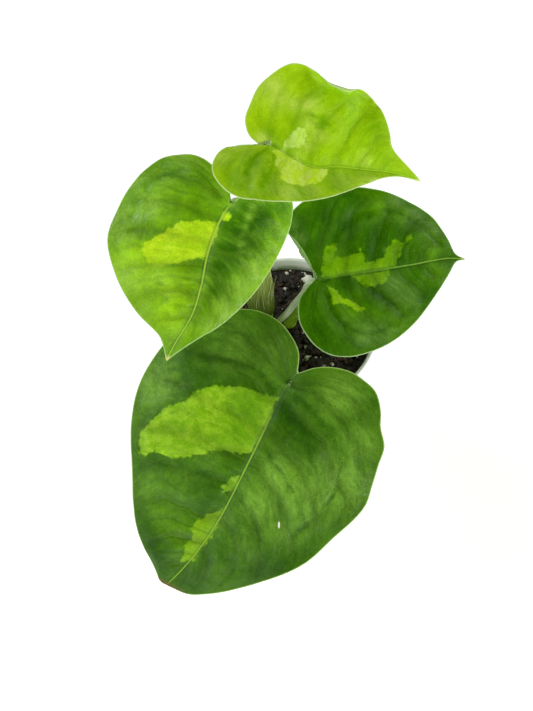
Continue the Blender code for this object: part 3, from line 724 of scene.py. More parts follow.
def makeLeafMaterial(name, leaf):
    # Living leaf skin with a thin wax layer: broad soft shine, helped by painted sheen, sunken
    # veins with painted shade in their creases, mottled green, ragged lighter variegation, a
    # glassy pale margin and a paler, duller underside.
    material, put = newMaterial(name)
    (ribGap, edgeGap, veinRun, veinScale, patch, faintPatch, glow, shade, paintedSheen, arcGap, under,
     along, across) = [put("Attribute", attribute_name=key).outputs["Fac"] for key in leafFields]
    place = put("CombineXYZ", along, across, under)
    flow = put("CombineXYZ", put(times, veinRun, 5), put(times, ribGap, 0.24))
    fineFlow = put("CombineXYZ", put(times, veinRun, 11), put(times, ribGap, 0.75))
    broad = put("TexNoise", place, 0.055)            # clouds of about 18 mm
    medium = put("TexNoise", place, 0.34, 3)         # puckers of 3 mm
    ragged = put("TexNoise", place, 0.85, 4, 0.65)   # the torn look of the patch edges, 1.2 mm
    grain = put("TexNoise", place, 2.2, 3, 0.6)      # leaf cells, drawn about 0.5 mm to show
    streak = put("TexNoise", flow, 1, 3, 0.6)        # runs with the side veins
    brushed = put("TexNoise", fineFlow, 1, 3, 0.6)   # the same, 0.5 mm across
    netGap = put("TexVoronoi DISTANCE_TO_EDGE", place, 0.75)
    net = put(ease, netGap, 0.01, 0.13, 1, 0)        # the finest veins, a net of 1.3 mm

    toVein = put(times, put("Math ABSOLUTE", put(minus, veinRun, put("Math ROUND", veinRun))),
                 veinScale)
    halfRun = put(times, veinRun, 2)                 # lesser creases, midway
    toCrease = put(times, put("Math ABSOLUTE", put(minus, halfRun, put("Math ROUND", halfRun))),
                   put(times, veinScale, 0.5))
    veinFade = put(times, put(ease, edgeGap, 1, 6), put(ease, medium, 0.3, 0.6))
    creaseFade = put(times, put(ease, edgeGap, 2, 8), put(ease, broad, 0.42, 0.6))
    veinLine = put(times, put(ease, toVein, 0.08, 0.34, 1, 0), veinFade)
    veinDip = put(times, put(ease, toVein, 0, 1.5, 1, 0), veinFade)
    creaseDip = put(times, put(ease, toCrease, 0, 0.9, 1, 0), creaseFade)
    pillow = put(times, put(ease, toVein, 1, 3.2), put(ease, edgeGap, 1, 5))
    arcNear = put(plus, arcGap, put(times, put(minus, medium, 0.5), 2))
    arcDip = put(times, put(ease, arcNear, 0, 1, 1, 0), put(ease, streak, 0.35, 0.6, 0.3, 1))
    arcLift = put(times, put(ease, arcNear, 0.9, 2), put(ease, arcNear, 2.2, 5, 1, 0))

    base = put("Mix", put(ease, broad, 0.36, 0.66), leaf["deep"], leaf["mid"])
    base = put("Mix", put(ease, streak, 0.45, 0.72, 0, 0.30), base, leaf["light"])
    # glows and shades: partly the leaf's own lighter and darker green, partly painted light and
    # shade
    base = put("Mix", put(times, glow, put(ease, medium, 0.25, 0.62, 0.55, 1)), base, leaf["glow"])
    base = put("Mix", put(times, shade, put(ease, streak, 0.3, 0.65, 1, 0.7)), base, leaf["shade"])

    patchTint = put("Mix", put(ease, streak, 0.40, 0.60, 0.05, 0.95), leaf["patch"],
                    leaf["patchPale"])
    patchTint = put("Mix", put(ease, broad, 0.42, 0.60, 0, 0.35), patchTint, leaf["light"])
    patchTint = put("Mix", put(ease, ragged, 0.40, 0.70, 0, 0.3), patchTint, leaf["glow"])
    patchTint = put("Mix", put(times, shade, leaf["patchShade"]), patchTint, leaf["light"])
    wander = put(plus, put(times, put(minus, medium, 0.5), 2.4),
                 put(times, put(minus, ragged, 0.5), 1.8))
    patchEdge = put(plus, patch, wander)
    faintEdge = put(plus, faintPatch, put(times, wander, 1.1))
    faintTint = put("Mix", put(ease, streak, 0.40, 0.62, 0, 0.65), leaf["faint"], leaf["glow"])
    colour = put("Mix", put(ease, faintEdge, -0.4, 0.4, 0, 0.85), base, faintTint)
    colour = put("Mix", put(ease, patchEdge, -0.25, 0.45), colour, patchTint)
    # a faint painted highlight in a band beside each bent crease
    colour = put("Mix", put(times, arcLift, 0.10), colour, leaf["paintedSheen"])
    calm = put(ease, patchEdge, 0, 2, 1, 0.35)       # the patches are smoother

    # painted shade in the sunken vein creases, weaker on the patches
    creases = put("Math MAXIMUM", put(times, veinDip, 0.38), put(times, creaseDip, 0.28))
    colour = put("Mix", put(times, creases, calm), colour, leaf["shade"])
    veinSeen = put(times, veinLine, put(ease, broad, 0.40, 0.62, 0, 0.12))
    colour = put("Mix", veinSeen, colour, leaf["rib"])

    # painted sheen: the green greyed where a soft reflection would lie, broken up by the fine
    # grain
    paintedSheenShare = put(times, paintedSheen, put(times, put(ease, streak, 0.32, 0.62, 0.6, 1),
                                 put(ease, brushed, 0.3, 0.66, 0.85, 1)))
    paintedSheenShare = put(times, paintedSheenShare, put(minus, 1, put(times, veinDip, 0.45)))
    colour = put("Mix", paintedSheenShare, colour, leaf["paintedSheen"])
    # painted shade along the bent creases
    colour = put("Mix", put(times, arcDip, leaf["arcSeen"]), colour, leaf["shade"])
    # painted light on the pillows between the side veins and painted shade beside the veins, with
    # the leaf's own random mottling
    tone = put(plus, put(times, put(minus, pillow, 0.5), 0.16),
               put(times, put(minus, brushed, 0.5), 0.14))
    tone = put(plus, tone, put(plus, put(times, put(minus, grain, 0.5), 0.78),
                               put(times, put(minus, medium, 0.5), 0.50)))
    tone = put(plus, tone, put(times, put(minus, ragged, 0.5), 0.46))
    tone = put(minus, tone, put(times, net, 0.06))
    tone = put(times, tone, leaf["coarse"])
    colour = put("Mix MULTIPLY", 1, colour, put(plus, tone, 1))

    tipAlong = leaf["midrib"][-1][0]
    ribWide = put(plus, put(times, along, -0.16 / tipAlong), 0.35)
    ribShare = put("Math DIVIDE", ribGap, ribWide)
    ribLine = put(times, put(ease, ribShare, 0.5, 1.15, 1, 0),
                  put(ease, along, *leaf["ribSeen"], 0.12, 1))
    ribShade = put(times, put(ease, ribShare, 0.8, 3.6, 1, 0), put(ease, along, -1, 2))
    colour = put("Mix", put(times, ribShade, 0.42), colour, leaf["shade"])
    colour = put("Mix", put(times, ribLine, 0.88), colour, leaf["rib"])

    edgeLine = put(ease, put(plus, edgeGap, put(times, medium, 0.2)), 0.20, 0.44, 1, 0)
    colour = put("Mix", put(ease, edgeGap, 0.4, 3.2, 0.15, 0), colour, leaf["light"])
    colour = put("Mix", put(times, edgeLine, 0.8), colour, leaf["edge"])
    atStalk = put("Math POWER", put(plus, put("Math POWER", along, 2),
                                    put("Math POWER", across, 2)), 0.5)
    colour = put("Mix", put(ease, atStalk, 0.3, 1.6, 0.35, 0), colour, leaf["light"])
    colour = put("Mix", put(ease, along, tipAlong - 2.2, tipAlong - 0.2, 0, 0.9), colour,
                 leaf["tip"])
    for fleckAlong, fleckAcross, turn, wide, long in leaf["flecks"]:
        fleck = put("Mapping TEXTURE", place, (fleckAlong, fleckAcross, 0),
                    (0, 0, math.radians(turn)), (long, wide, 1))
        colour = put("Mix", put(ease, put("VectorMath LENGTH", fleck), 0.75, 1.1, 1, 0), colour,
                     "#F2F6E6")

    backTint = put("Mix", put(ease, medium, 0.35, 0.7), leaf["under"], leaf["glow"])
    backTint = put("Mix", put(times, put(ease, toVein, 0.15, 0.7, 1, 0), 0.45), backTint,
                   leaf["edge"])
    backTint = put("Mix", put(ease, patchEdge, -0.6, 0.6, 0, 0.4), backTint, leaf["patchPale"])
    backTint = put("Mix", put(times, put(ease, ribShare, 1.2, 2.8, 1, 0), 0.75), backTint,
                   leaf["edge"])
    backTint = put("Mix", 0.35, leaf["under"], backTint)
    colour = put("Mix", under, colour, backTint)

    gloss = put(plus, put(times, ragged, 0.16), put(plus, put(times, under, 0.24), 0.24))
    inGroove = put(ease, put("Math MINIMUM", ribGap, atStalk), 0.4, 1.8, 1, 0)
    gloss = put(plus, gloss, put(times, inGroove, 0.35))      # dull in the groove

    height = put(times, medium, 3)
    for step, relief, amount in ((plus, streak, 1), (plus, brushed, 0.18), (plus, grain, 0.18),
                                 (minus, veinLine, 0.15), (minus, creaseDip, 0.7),
                                 (minus, net, 0.22)):
        height = put(step, height, put(times, relief, amount))
    return setSurface(material, {
        "Base Color": colour, "Roughness": gloss, "IOR": 1.42,      # leaf wax
        "Specular IOR Level": leaf["waxShine"],
        "Normal": put("Bump", Strength=0.8, Distance=0.12 * mm, Height=height)})


leafMaterials = {"leafFront": "waxyLeafDarkGreen", "leafLeft": "waxyLeafMidGreen",
                 "leafRight": "waxyLeafForestGreen", "leafTop": "waxyLeafLime"}
for number, (name, leaf) in enumerate(leaves.items()):
    piece = makeLeaf(name, leaf, 20.0 * (number + 1))
    finishPiece(piece, name, makeLeafMaterial(leafMaterials[name], leaf), leaf["node"])
    print(name, "has", len(piece.data.polygons), "faces")

# ---- stalks and stems

stalks = {
    "petioleTop": {"node": "petiole_top", "leaf": "leafTop", "angle": 75, "endRadius": 1.3,
                   "route": [(-8.6, 7.2, 56.9, 1.3), (-8.2, 7.8, 69, 1.2),
                             (-8.4, 9.8, 78, 1.1), (-8.3, 13.2, 86, 1.1),
                             (-8.2, 17, 93, 1.1), (-8.4, 19.6, 100, 1.1)]},
    "petioleLeft": {"node": "petiole_left", "leaf": "leafLeft", "angle": 70, "endRadius": 1.3,
                    "route": [(-9.5, 4.6, 57.2, 1.3), (-10.5, 5.9, 69, 1.2),
                              (-12.7, 9.8, 80, 1.1), (-14.8, 13.8, 87.4, 1.1)]},
    "petioleRight": {"node": "petiole_right", "leaf": "leafRight", "angle": 70,
                     "endRadius": 1.2,
                     "route": [(-3.1, 2.4, 51, 1), (-0.8, 1.7, 56, 1),
                               (1.3, 1.2, 61.6, 1), (3.8, 1.5, 66.2, 1)]},
    "petioleFront": {"node": "petiole_front", "leaf": "leafFront", "angle": 35,
                     "endRadius": 1.4,
                     "route": [(-2.4, -1, 51, 1.3), (-2.4, -8, 55.6, 1.2),
                               (-1.2, -15.5, 58, 1.2)]},
}
stems = {
    "stemMain": {"node": "stem_main",
                 "route": [(-5.5, 3.5, 24, 2.3), (-6.4, 4, 38, 2.3),
                           (-7.4, 4.5, 46, 2.4), (-8.3, 5.1, 52, 2.5),
                           (-8.8, 5.7, 56, 2.2)],
                 "rings": [0.80, 0.93]},
    "stemSide": {"node": "stem_side",
                 "route": [(-1.4, 1.5, 26, 1.7), (-1.2, 1.5, 40, 1.7),
                           (-0.6, 1.6, 48, 1.8), (0.6, 2, 52.5, 1.8),
                           (3.4, 2.8, 57, 1.5)],
                 "rings": [0.77, 0.90]},
}
tubeForm = {
    "channelWide": 0.55,                      # half width of the groove on top, radians
    "lobes": 7, "lobeDeep": 0.02,             # faint ridges along the stalk
    "swell": 0.14, "swellLong": 0.022,        # rings: share of the radius and of the length
    "smoothAngle": 60,
}
stalkEnd = {     # how a stalk runs into its blade, in millimetres from the blade's base
    "below": 0.60, "behind": 0.3, "straight": 4.0, "bladeGap": 0.3,
    "firstAlong": 4.0, "firstBelow": 1.05, "lastAlong": 8.0, "lastBelow": 0.85,
    "bladeBend": 0.002, "taper": (0.92, 0.72, 0.35),
}


def makeTube(name, route, steps, sides, channel, rings=()):
    # a curve with its own cross-section, turned to mesh; rings are swollen nodes on a stem
    places = smoothPath([p[:3] for p in route], steps)
    radii = smoothFlat([(10 * i, p[3]) for i, p in enumerate(route)], steps)[:, 1]
    section = bpy.data.curves.new(name + "Section", "CURVE")
    section.dimensions = "2D"
    ring = section.splines.new("POLY")
    ring.points.add(sides - 1)
    for k, point in enumerate(ring.points):
        turn = 2 * math.pi * k / sides
        reach = 1.0 - channel * math.exp(-((turn - math.pi) / tubeForm["channelWide"]) ** 2)
        reach += tubeForm["lobeDeep"] * math.sin(tubeForm["lobes"] * turn)
        point.co = (reach * math.cos(turn) * mm, reach * math.sin(turn) * mm, 0, 1)
    ring.use_cyclic_u = True
    sectionObject = addObject(name + "Section", section)
    curve = bpy.data.curves.new(name, "CURVE")
    curve.dimensions = "3D"
    curve.bevel_mode = "OBJECT"
    curve.bevel_object = sectionObject
    curve.use_fill_caps = True
    spline = curve.splines.new("POLY")
    spline.points.add(steps - 1)
    for k, point in enumerate(spline.points):
        share = k / (steps - 1)
        swell = sum(tubeForm["swell"] * math.exp(-((share - at) / tubeForm["swellLong"]) ** 2)
                    for at in rings)
        point.co = (*(places[k] * mm), 1)
        point.radius = radii[k] * (1 + swell)
    pick(addObject(name, curve))
    bpy.ops.object.convert(target="MESH")
    tube = bpy.context.object
    bpy.data.objects.remove(sectionObject)
    mergeShell()
    bpy.ops.object.shade_smooth_by_angle(angle=math.radians(tubeForm["smoothAngle"]))

    # where each vertex lies on the stalk: sideways in two directions, and along it
    sideways = Vector((1, 0, 0))
    where = tube.data.attributes.new("stalkPlace", "FLOAT_VECTOR", "POINT")
    total = sum((b - a).length for a, b in zip(places, places[1:]))
    for vert in tube.data.vertices:
        spot = vert.co / mm
        near = min(range(steps), key=lambda k: (places[k] - spot).length_squared)
        ahead = (places[min(near + 1, steps - 1)] - places[max(near - 1, 0)]).normalized()
        offset = spot - places[near]
        across = (sideways - ahead * sideways.dot(ahead)).normalized()
        where.data[vert.index].vector = (offset.dot(across), offset.dot(ahead.cross(across)),
                                         total * near / (steps - 1))
    return tube


def makeStalkMaterial(name, look):
    # Soft plant skin: satin, with fine lengthwise fibres that show as pale and green streaks,
    # and darker and browner towards the soil
    material, put = newMaterial(name)
    where = put("Attribute", attribute_name=look["attribute"]).outputs["Vector"]
    fibres = put("TexNoise", put("Mapping", where, Scale=look["stretch"]),
                 look["fibresPerMm"], 3.0, 0.6)
    clouds = put("TexNoise", where, 0.22)
    ramp = setRamp(put("ValToRGB", fibres), (0.34, look["dark"]), (0.66, look["light"]))
    colour = put("Mix", put("MapRange", clouds, 0.35, 0.7), ramp, look["cloud"])
    low = put("MapRange", put("SeparateXYZ", where).outputs["Z"], look["lowFrom"],
              look["lowTo"], 1, 0)
    return setSurface(material, {
        "Base Color": put("Mix", low, colour, look["low"]), "Roughness": look["roughness"],
        "IOR": 1.42,
        "Normal": put("Bump", Strength=0.6, Distance=look["ridge"] * mm, Height=fibres)})


# The petiole and stem colours are partly painted light: much lighter than their own green, so they
# read bright in the shade under the leaves.
petioleSkin = makeStalkMaterial("petioleSkin", {
    "attribute": "stalkPlace", "stretch": (1.0, 1.0, 0.10), "fibresPerMm": 2.6,
    "dark": "#CCDAAE", "light": "#F4F8EA", "cloud": "#E2ECD0", "roughness": 0.42,
    "ridge": 0.07, "low": "#B4C48A", "lowFrom": 1.0, "lowTo": 7.0})
stemSkin = makeStalkMaterial("vineStemSkin", {
    "attribute": "stalkPlace", "stretch": (1.0, 1.0, 0.16), "fibresPerMm": 1.7,
    "dark": "#64880E", "light": "#98BC2A", "cloud": "#7AA01A", "roughness": 0.45,
    "ridge": 0.10, "low": "#4A3A1C", "lowFrom": 20.0, "lowTo": 25.0})

for name, stalk in stalks.items():
    leaf = leaves[stalk["leaf"]]
    along, across, normal = bladeAxes(leaf)
    angle = math.radians(stalk["angle"])
    aim = along * math.cos(angle) + normal * math.sin(angle)
    radius = stalk["endRadius"]
    base = Vector(leaf["base"])
    first, last = stalkEnd["firstAlong"], stalkEnd["lastAlong"]
    joint = base - normal * (stalkEnd["below"] + radius) - along * stalkEnd["behind"]
    before = joint - aim * stalkEnd["straight"]
    # from the joint it runs out under the midrib
    underRib = base + along * first - normal * (stalkEnd["firstBelow"] + stalkEnd["bladeGap"])
    sink = stalkEnd["lastBelow"] + stalkEnd["bladeGap"] + last * last * stalkEnd["bladeBend"]
    end = base + along * last - normal * sink
    beforeShare, ribShare, endShare = stalkEnd["taper"]
    route = stalk["route"] + [(*before, beforeShare * radius), (*joint, radius),
                              (*underRib, ribShare * radius), (*end, endShare * radius)]
    finishPiece(makeTube(name, route, 64, 20, 0.16), name, petioleSkin, stalk["node"])
for name, stem in stems.items():
    finishPiece(makeTube(name, stem["route"], 90, 24, 0.0, stem["rings"]), name, stemSkin,
                stem["node"])
print("stalks and stems are made")


# ---- sheath

sheath = {
    "path": [(-8.5, 5.2, 52.6), (-9.3, 5.7, 60), (-9.3, 6.7, 68), (-9.4, 8.4, 76)],
    "radius": [2.9, 3.5, 3.7, 3.7], "opening": [110, 120, 150, 250], "back": 75,
    "thick": 0.45, "tall": 24, "clear": 0.4, "rows": 54, "sides": 72,
    "ribs": 15, "ribDeep": 0.13, "waveDeep": 0.25, "sagDeep": 0.5, "sagRows": 8,
    "shredRows": 14, "shredHalf": 0.11, "shredThick": 0.09,
    "shredClear": 0.75, "shredLift": 0.5, "shredLoose": 0.1,
    "shreds": [    # turn, start along, length
        (300, 0.10, 11), (318, 0.18, 9), (286, 0.06, 12), (335, 0.25, 9.5), (262, 0.12, 8.5),
        (350, 0.30, 9), (312, 0.45, 7)],
}


def makeSheath():
    rows, sides = sheath["rows"], sheath["sides"]
    places = smoothPath(sheath["path"], rows)
    sizes = smoothPath([(10 * i, r, opening) for i, (r, opening) in
                        enumerate(zip(sheath["radius"], sheath["opening"]))], rows)
    bm = bmesh.new()
    layer = bm.verts.layers.float_vector.new("sheathPlace")
    rings = []
    for i, (place, size) in enumerate(zip(places, sizes)):
        ring = []
        for k in range(sides + 1):
            share = k / sides
            turn = math.radians(sheath["back"] + size.z / 2 + (360 - size.z) * share)
            out = Vector((math.cos(turn), math.sin(turn), 0))
            edge = min(share, 1 - share) * 2
            rib = sheath["ribDeep"] * math.sin(share * sheath["ribs"] * 2 * math.pi)
            wave = sheath["waveDeep"] * noise.noise(Vector((share * 4, i * 0.06, 5.0)))
            reach = size.y + sheath["clear"] + (rib + wave) * min(1, edge * 4)
            sag = (sheath["sagDeep"] * noise.noise(Vector((share * 9, 3.0, 1.0)))
                   * smoothStep(i, rows - sheath["sagRows"], rows - 1))
            vert = bm.verts.new((place + out * reach + Vector((0, 0, sag))) * mm)
            vert[layer] = (turn * size.y, edge, sheath["tall"] * i / (rows - 1))
            ring.append(vert)
        rings.append(ring)
    for a, b in zip(rings, rings[1:]):
        for k in range(sides):
            bm.faces.new([a[k], a[k + 1], b[k + 1], b[k]])
    shell = thicken(meshObject("sheathLeft", bm), sheath["thick"], 0.0)
    shell.data.shade_smooth()
    return shell


def makeShreds():
    # papery strips that peel off the sheath
    strips = []
    rows, steps = sheath["shredRows"], 60
    places = smoothPath(sheath["path"], steps)
    widths = smoothFlat([(10 * i, r) for i, r in enumerate(sheath["radius"])], steps)[:, 1]
    for number, (turnDegrees, start, length) in enumerate(sheath["shreds"]):
        rng = random.Random(90 + number)
        bm = bmesh.new()
        pairs = []
        for i in range(rows):
            share = i / (rows - 1)
            index = min(steps - 1, int(steps * (start + share * length / sheath["tall"])))
            turn = math.radians(turnDegrees + 5 * math.sin(share * 2.2 + number))
            out = Vector((math.cos(turn), math.sin(turn), 0))
            side = Vector((-math.sin(turn), math.cos(turn), 0))
            lift = (widths[index] + sheath["shredClear"] + sheath["shredLift"] * share ** 2
                    + sheath["shredLoose"] * rng.random())
            middle = places[index] + out * lift
            half = sheath["shredHalf"] * (1 - 0.7 * share)
            pairs.append([bm.verts.new((middle + side * w) * mm) for w in (-half, half)])
        for a, b in zip(pairs, pairs[1:]):
            bm.faces.new([a[0], a[1], b[1], b[0]])
        strips.append(thicken(meshObject("shred", bm), sheath["shredThick"], -1.0))
    return joinAll(strips)


sheathSkin = makeStalkMaterial("sheathSkin", {
    "attribute": "sheathPlace", "stretch": (1.0, 0.1, 0.035), "fibresPerMm": 2.3,
    "dark": "#5E7618", "light": "#AEBC74", "cloud": "#7E9232", "roughness": 0.48,
    "ridge": 0.14, "low": "#4E6010", "lowFrom": 3.0, "lowTo": 13.0})
# dried sheath tissue: pale straw, dull, nearly colourless
driedSheath, put = newMaterial("driedSheathPaper")
flecks = put("TexNoise", put("TexCoord").outputs["Object"], 900)
setSurface(driedSheath, {"Base Color": put("Mix", flecks, "#D9DDB4", "#BFC78A"),
                         "Roughness": 0.7})

finishPiece(makeSheath(), "sheathLeft", sheathSkin, "sheath_left")
finishPiece(makeShreds(), "sheathShreds", driedSheath, "sheath_left")
print("sheath is made")


# ---- pot

pot = {
    "height": 51, "rimRadius": 26.8, "topRadius": 25.1, "footRadius": 18.5, "wall": 0.9,
    "floor": 1.4, "rimDrop": 6, "lip": 1.4, "drains": 6, "drainRadius": 2.4,
    "drainRing": 11.5, "spinSteps": 96,
}


def wallRadius(height):
    return pot["footRadius"] + (pot["topRadius"] - pot["footRadius"]) * height / pot["height"]


def potProfile():
    low = pot["height"] - pot["rimDrop"]
    rim, top, wall, inner = pot["rimRadius"], pot["height"], pot["wall"], pot["floor"]
    return [
        (0.0, 0.35), (9.0, 0.35), (9.0, 0.05), (wallRadius(0) - 1.6, 0.0),
        (wallRadius(0) - 0.9, 0.1), (wallRadius(0) - 0.35, 0.55), (wallRadius(2.0), 2.0),
        (wallRadius(low * 0.5), low * 0.5), (wallRadius(low), low), (rim - 0.75, low),
        (rim - 0.45, low + 0.12), (rim - 0.25, low + 0.4), (rim - 0.1, top - 3.0),
        (rim, top - 0.75), (rim - 0.1, top - 0.3), (rim - 0.4, top - 0.03),
        (rim - 0.8, top), (rim - 1.1, top - 0.12), (rim - pot["lip"], top - 0.5),
        (rim - pot["lip"] - 0.4, low + 1.2), (wallRadius(low) - wall, low),
        (wallRadius(low * 0.5) - wall, low * 0.5), (wallRadius(inner + 1.2) - wall, inner + 1.2),
        (wallRadius(inner) - wall - 0.45, inner + 0.25), (wallRadius(inner) - wall - 1.1, inner),
        (0.0, inner)]


def makePot():
    deselectAll()
    profile = potProfile()
    bpy.ops.mesh.primitive_plane_add(size=mm, location=(0, 0, 0))
    shell = bpy.context.object
    bpy.ops.object.mode_set(mode="EDIT")
    bpy.ops.mesh.select_all(action="SELECT")
    bpy.ops.mesh.merge(type="CENTER")
    bpy.ops.transform.translate(value=(profile[0][0] * mm, 0, profile[0][1] * mm))
    for (r0, z0), (r1, z1) in zip(profile, profile[1:]):
        bpy.ops.mesh.extrude_region_move(
            TRANSFORM_OT_translate={"value": ((r1 - r0) * mm, 0, (z1 - z0) * mm)})
    bpy.ops.mesh.select_all(action="SELECT")
    bpy.ops.mesh.spin(steps=pot["spinSteps"], angle=2 * math.pi, center=(0, 0, 0),
                      axis=(0, 0, 1))
    mergeShell()
    for k in range(pot["drains"]):
        turn = 2 * math.pi * (k + 0.5) / pot["drains"]
        bpy.ops.mesh.primitive_cylinder_add(
            vertices=32, radius=pot["drainRadius"] * mm, depth=8 * mm,
            location=(pot["drainRing"] * math.cos(turn) * mm,
                      pot["drainRing"] * math.sin(turn) * mm, 0))
        cutter = bpy.context.object
        pick(shell)
        cut = shell.modifiers.new("drain", "BOOLEAN")
        cut.object = cutter
        cut.solver = "EXACT"
        bpy.ops.object.modifier_apply(modifier="drain")
        bpy.data.objects.remove(cutter)
    # the place, turn and size go into the mesh, so the object sits at the origin
    bpy.ops.object.transform_apply(location=True, rotation=True, scale=True)
    bpy.ops.object.shade_smooth_by_angle(angle=math.radians(35))
    return shell


# White moulded polypropylene: milky, satin, with faint flow marks and soil dust at the top.
# Below the lip the damp dark mix shows faintly through the thin wall.
potPlastic, put = newMaterial("mouldedPolypropyleneWhite")
spot = put("TexCoord").outputs["Object"]
height = put("SeparateXYZ", spot).outputs["Z"]
flowMarks = put("TexNoise", spot, 90, 3)
dustSpots = put("MapRange", put("TexNoise", spot, 700, 4, 0.7), 0.60, 0.72)
dustLow = put("MapRange", height, 49.5 * mm, 47.5 * mm)
dustHigh = put("MapRange", height, 43 * mm, 46 * mm, 0.25, 1)
dustBand = put(times, dustLow, dustHigh)
dust = put(times, put(times, dustBand, dustSpots), 0.55)
milky = put("Mix", flowMarks, "#F7F7F4", "#EDEEEB")
wallTint = put("Mix", put(ease, height, 46.5 * mm, 41 * mm, 0, 0.95), milky, "#C6C8C2")
setSurface(potPlastic, {
    "Base Color": put("Mix", dust, wallTint, "#6B5A48"),
    "Roughness": put("MapRange", flowMarks, 0.3, 0.7, 0.34, 0.46), "IOR": 1.49,
    "Subsurface Weight": 0.35, "Subsurface Radius": (2 * mm, 2 * mm, 2 * mm),
    "Normal": put("Bump", Strength=0.25, Distance=0.03 * mm,
                  Height=put("TexNoise", spot, 1400))})
finishPiece(makePot(), "nurseryPot", potPlastic, "pot")
print("pot is made")


# ---- soil

soil = {
    "top": 48, "dome": 1.2, "rimSink": 0.6, "rimWide": 2.5, "edgeRadius": 24.6,
    "gridSize": 52, "gridSteps": 104,
    "rough": [(0.55, 0.7, 1), (0.35, 1.9, 4), (0.18, 4.1, 9)],      # size, per mm, seed
    "clump": 22, "clumpSizes": (1.3, 2.4), "perlite": 12, "perliteSizes": (0.6, 1.3),
    "bigInset": 2.6,            # room that these keep from the edge, as in the solids
    "perliteSeen": [(5.6, 19.9, 2), (4.6, 21.9, 0.8), (-0.9, 22.2, 0.7), (3.4, -6.2, 0.7),
                    (4.8, -6.6, 0.7), (7.6, -10, 0.9), (12.5, -12.5, 0.8), (-1.4, 15.7, 0.8)],
    "crumbs": 900, "crumbSizes": (0.35, 1.25), "chips": 40, "chipSizes": (0.7, 1.5),
    "dust": 120, "dustSizes": (0.12, 0.34),
    "threads": 120, "threadSteps": 6, "threadInset": 5, "threadRadius": 0.09,
    "threadBow": 0.35, "threadLong": (2, 6.5), "threadLift": (0.1, 0.9),
    "stems": [(-7.4, 4.5, 2.4), (-0.6, 1.6, 1.8)],
}


def soilHeight(x, y):
    reach = (x * x + y * y) / pot["topRadius"] ** 2
    lumps = (0.45 * math.sin(0.55 * x + 1.3) * math.cos(0.62 * y + 0.4)
             + 0.3 * math.sin(1.1 * x - 0.8 * y + 2.0) + 0.2 * math.cos(1.6 * y + 0.9 * x))
    return soil["top"] + soil["dome"] * (1 - reach) + lumps


def makeBed():
    deselectAll()
    bpy.ops.mesh.primitive_grid_add(x_subdivisions=soil["gridSteps"],
                                    y_subdivisions=soil["gridSteps"],
                                    size=soil["gridSize"] * mm, location=(0, 0, 0))
    bed = bpy.context.object
    bm = bmesh.new()
    bm.from_mesh(bed.data)
    edge = soil["edgeRadius"] * mm
    rimHeight = soil["top"] - soil["rimSink"]
    bmesh.ops.delete(bm, geom=[v for v in bm.verts if v.co.xy.length > edge], context="VERTS")
    for vert in bm.verts:
        if vert.is_boundary:
            vert.co.xy = vert.co.xy.normalized() * edge
        x, y = vert.co.x / mm, vert.co.y / mm
        fine = sum(size * noise.noise(Vector((x * perMm, y * perMm, seed)))
                   for size, perMm, seed in soil["rough"])
        settled = smoothStep(math.hypot(x, y), soil["edgeRadius"] - soil["rimWide"],
                             soil["edgeRadius"])
        vert.co.z = ((soilHeight(x, y) + fine) * (1 - settled) + rimHeight * settled) * mm
    bm.to_mesh(bed.data)
    bm.free()
    pick(bed)
    bpy.ops.object.mode_set(mode="EDIT")
    bpy.ops.mesh.select_mode(type="EDGE")
    bpy.ops.mesh.select_all(action="DESELECT")
    bpy.ops.mesh.select_non_manifold()
    low = pot["height"] - pot["rimDrop"]
    at, radius = rimHeight, soil["edgeRadius"]
    for height, reach in ((low, wallRadius(low) - pot["wall"] - 0.4),
                          (3.4, wallRadius(3.4) - pot["wall"] - 0.5),
                          (1.7, wallRadius(1.4) - pot["wall"] - 1.6)):
        bpy.ops.mesh.extrude_region_move(
            TRANSFORM_OT_translate={"value": (0, 0, (height - at) * mm)})
        bpy.ops.transform.resize(value=(reach / radius, reach / radius, 1),
                                 center_override=(0, 0, height * mm))
        at, radius = height, reach
    bpy.ops.mesh.edge_face_add()
    bpy.ops.mesh.select_all(action="SELECT")
    bpy.ops.mesh.normals_make_consistent(inside=False)
    bpy.ops.object.mode_set(mode="OBJECT")
    bpy.ops.object.shade_smooth_by_angle(angle=math.radians(50))
    return bed


def makeLump(rng, subdivisions, rough, squash):
    # one lump: a ball of triangles pushed in and out, flattened a little
    bpy.ops.mesh.primitive_ico_sphere_add(subdivisions=subdivisions, radius=mm,
                                          location=(0, 0, 0))
    lump = bpy.context.object
    shift = Vector((rng.uniform(0, 50), rng.uniform(0, 50), rng.uniform(0, 50)))
    for vert in lump.data.vertices:
        spot = vert.co / mm
        vert.co *= (1 + rough * noise.noise(spot * 1.3 + shift)
                    + 0.5 * rough * noise.noise(spot * 3.1 + shift))
        vert.co.z *= squash
    return lump


def scatter(masters, spots, name, smooth):
    # each copy has its own mesh, placed by its spot: x, y, z, size, turn
    copies = []
    for index, (x, y, z, size, turn) in enumerate(spots):
        mesh = masters[index % len(masters)].data.copy()
        mesh.transform(Matrix.Translation((x * mm, y * mm, z * mm))
                       @ Matrix.Rotation(turn, 4, Vector((0.3, 0.5, 1)).normalized())
                       @ Matrix.Rotation(turn * 2.7, 4, "X")
                       @ Matrix.Diagonal((*(size if isinstance(size, tuple) else (size,) * 3),
                                          1)))
        copies.append(addObject(name, mesh))
    whole = joinAll(copies)
    if smooth:
        bpy.ops.object.shade_smooth_by_angle(angle=math.radians(smooth))
    return whole


def clearOfStems(x, y, size):
    return all(math.hypot(x - sx, y - sy) > sr + size + 0.3 for sx, sy, sr in soil["stems"])


def discPlace(rng, inset):
    reach = (soil["edgeRadius"] - inset) * math.sqrt(rng.random())
    turn = rng.uniform(0, 2 * math.pi)
    return reach * math.cos(turn), reach * math.sin(turn)


def newSoilMaterial(name):
    material, put = newMaterial(name)
    return material, put, put("TexCoord").outputs["Object"]


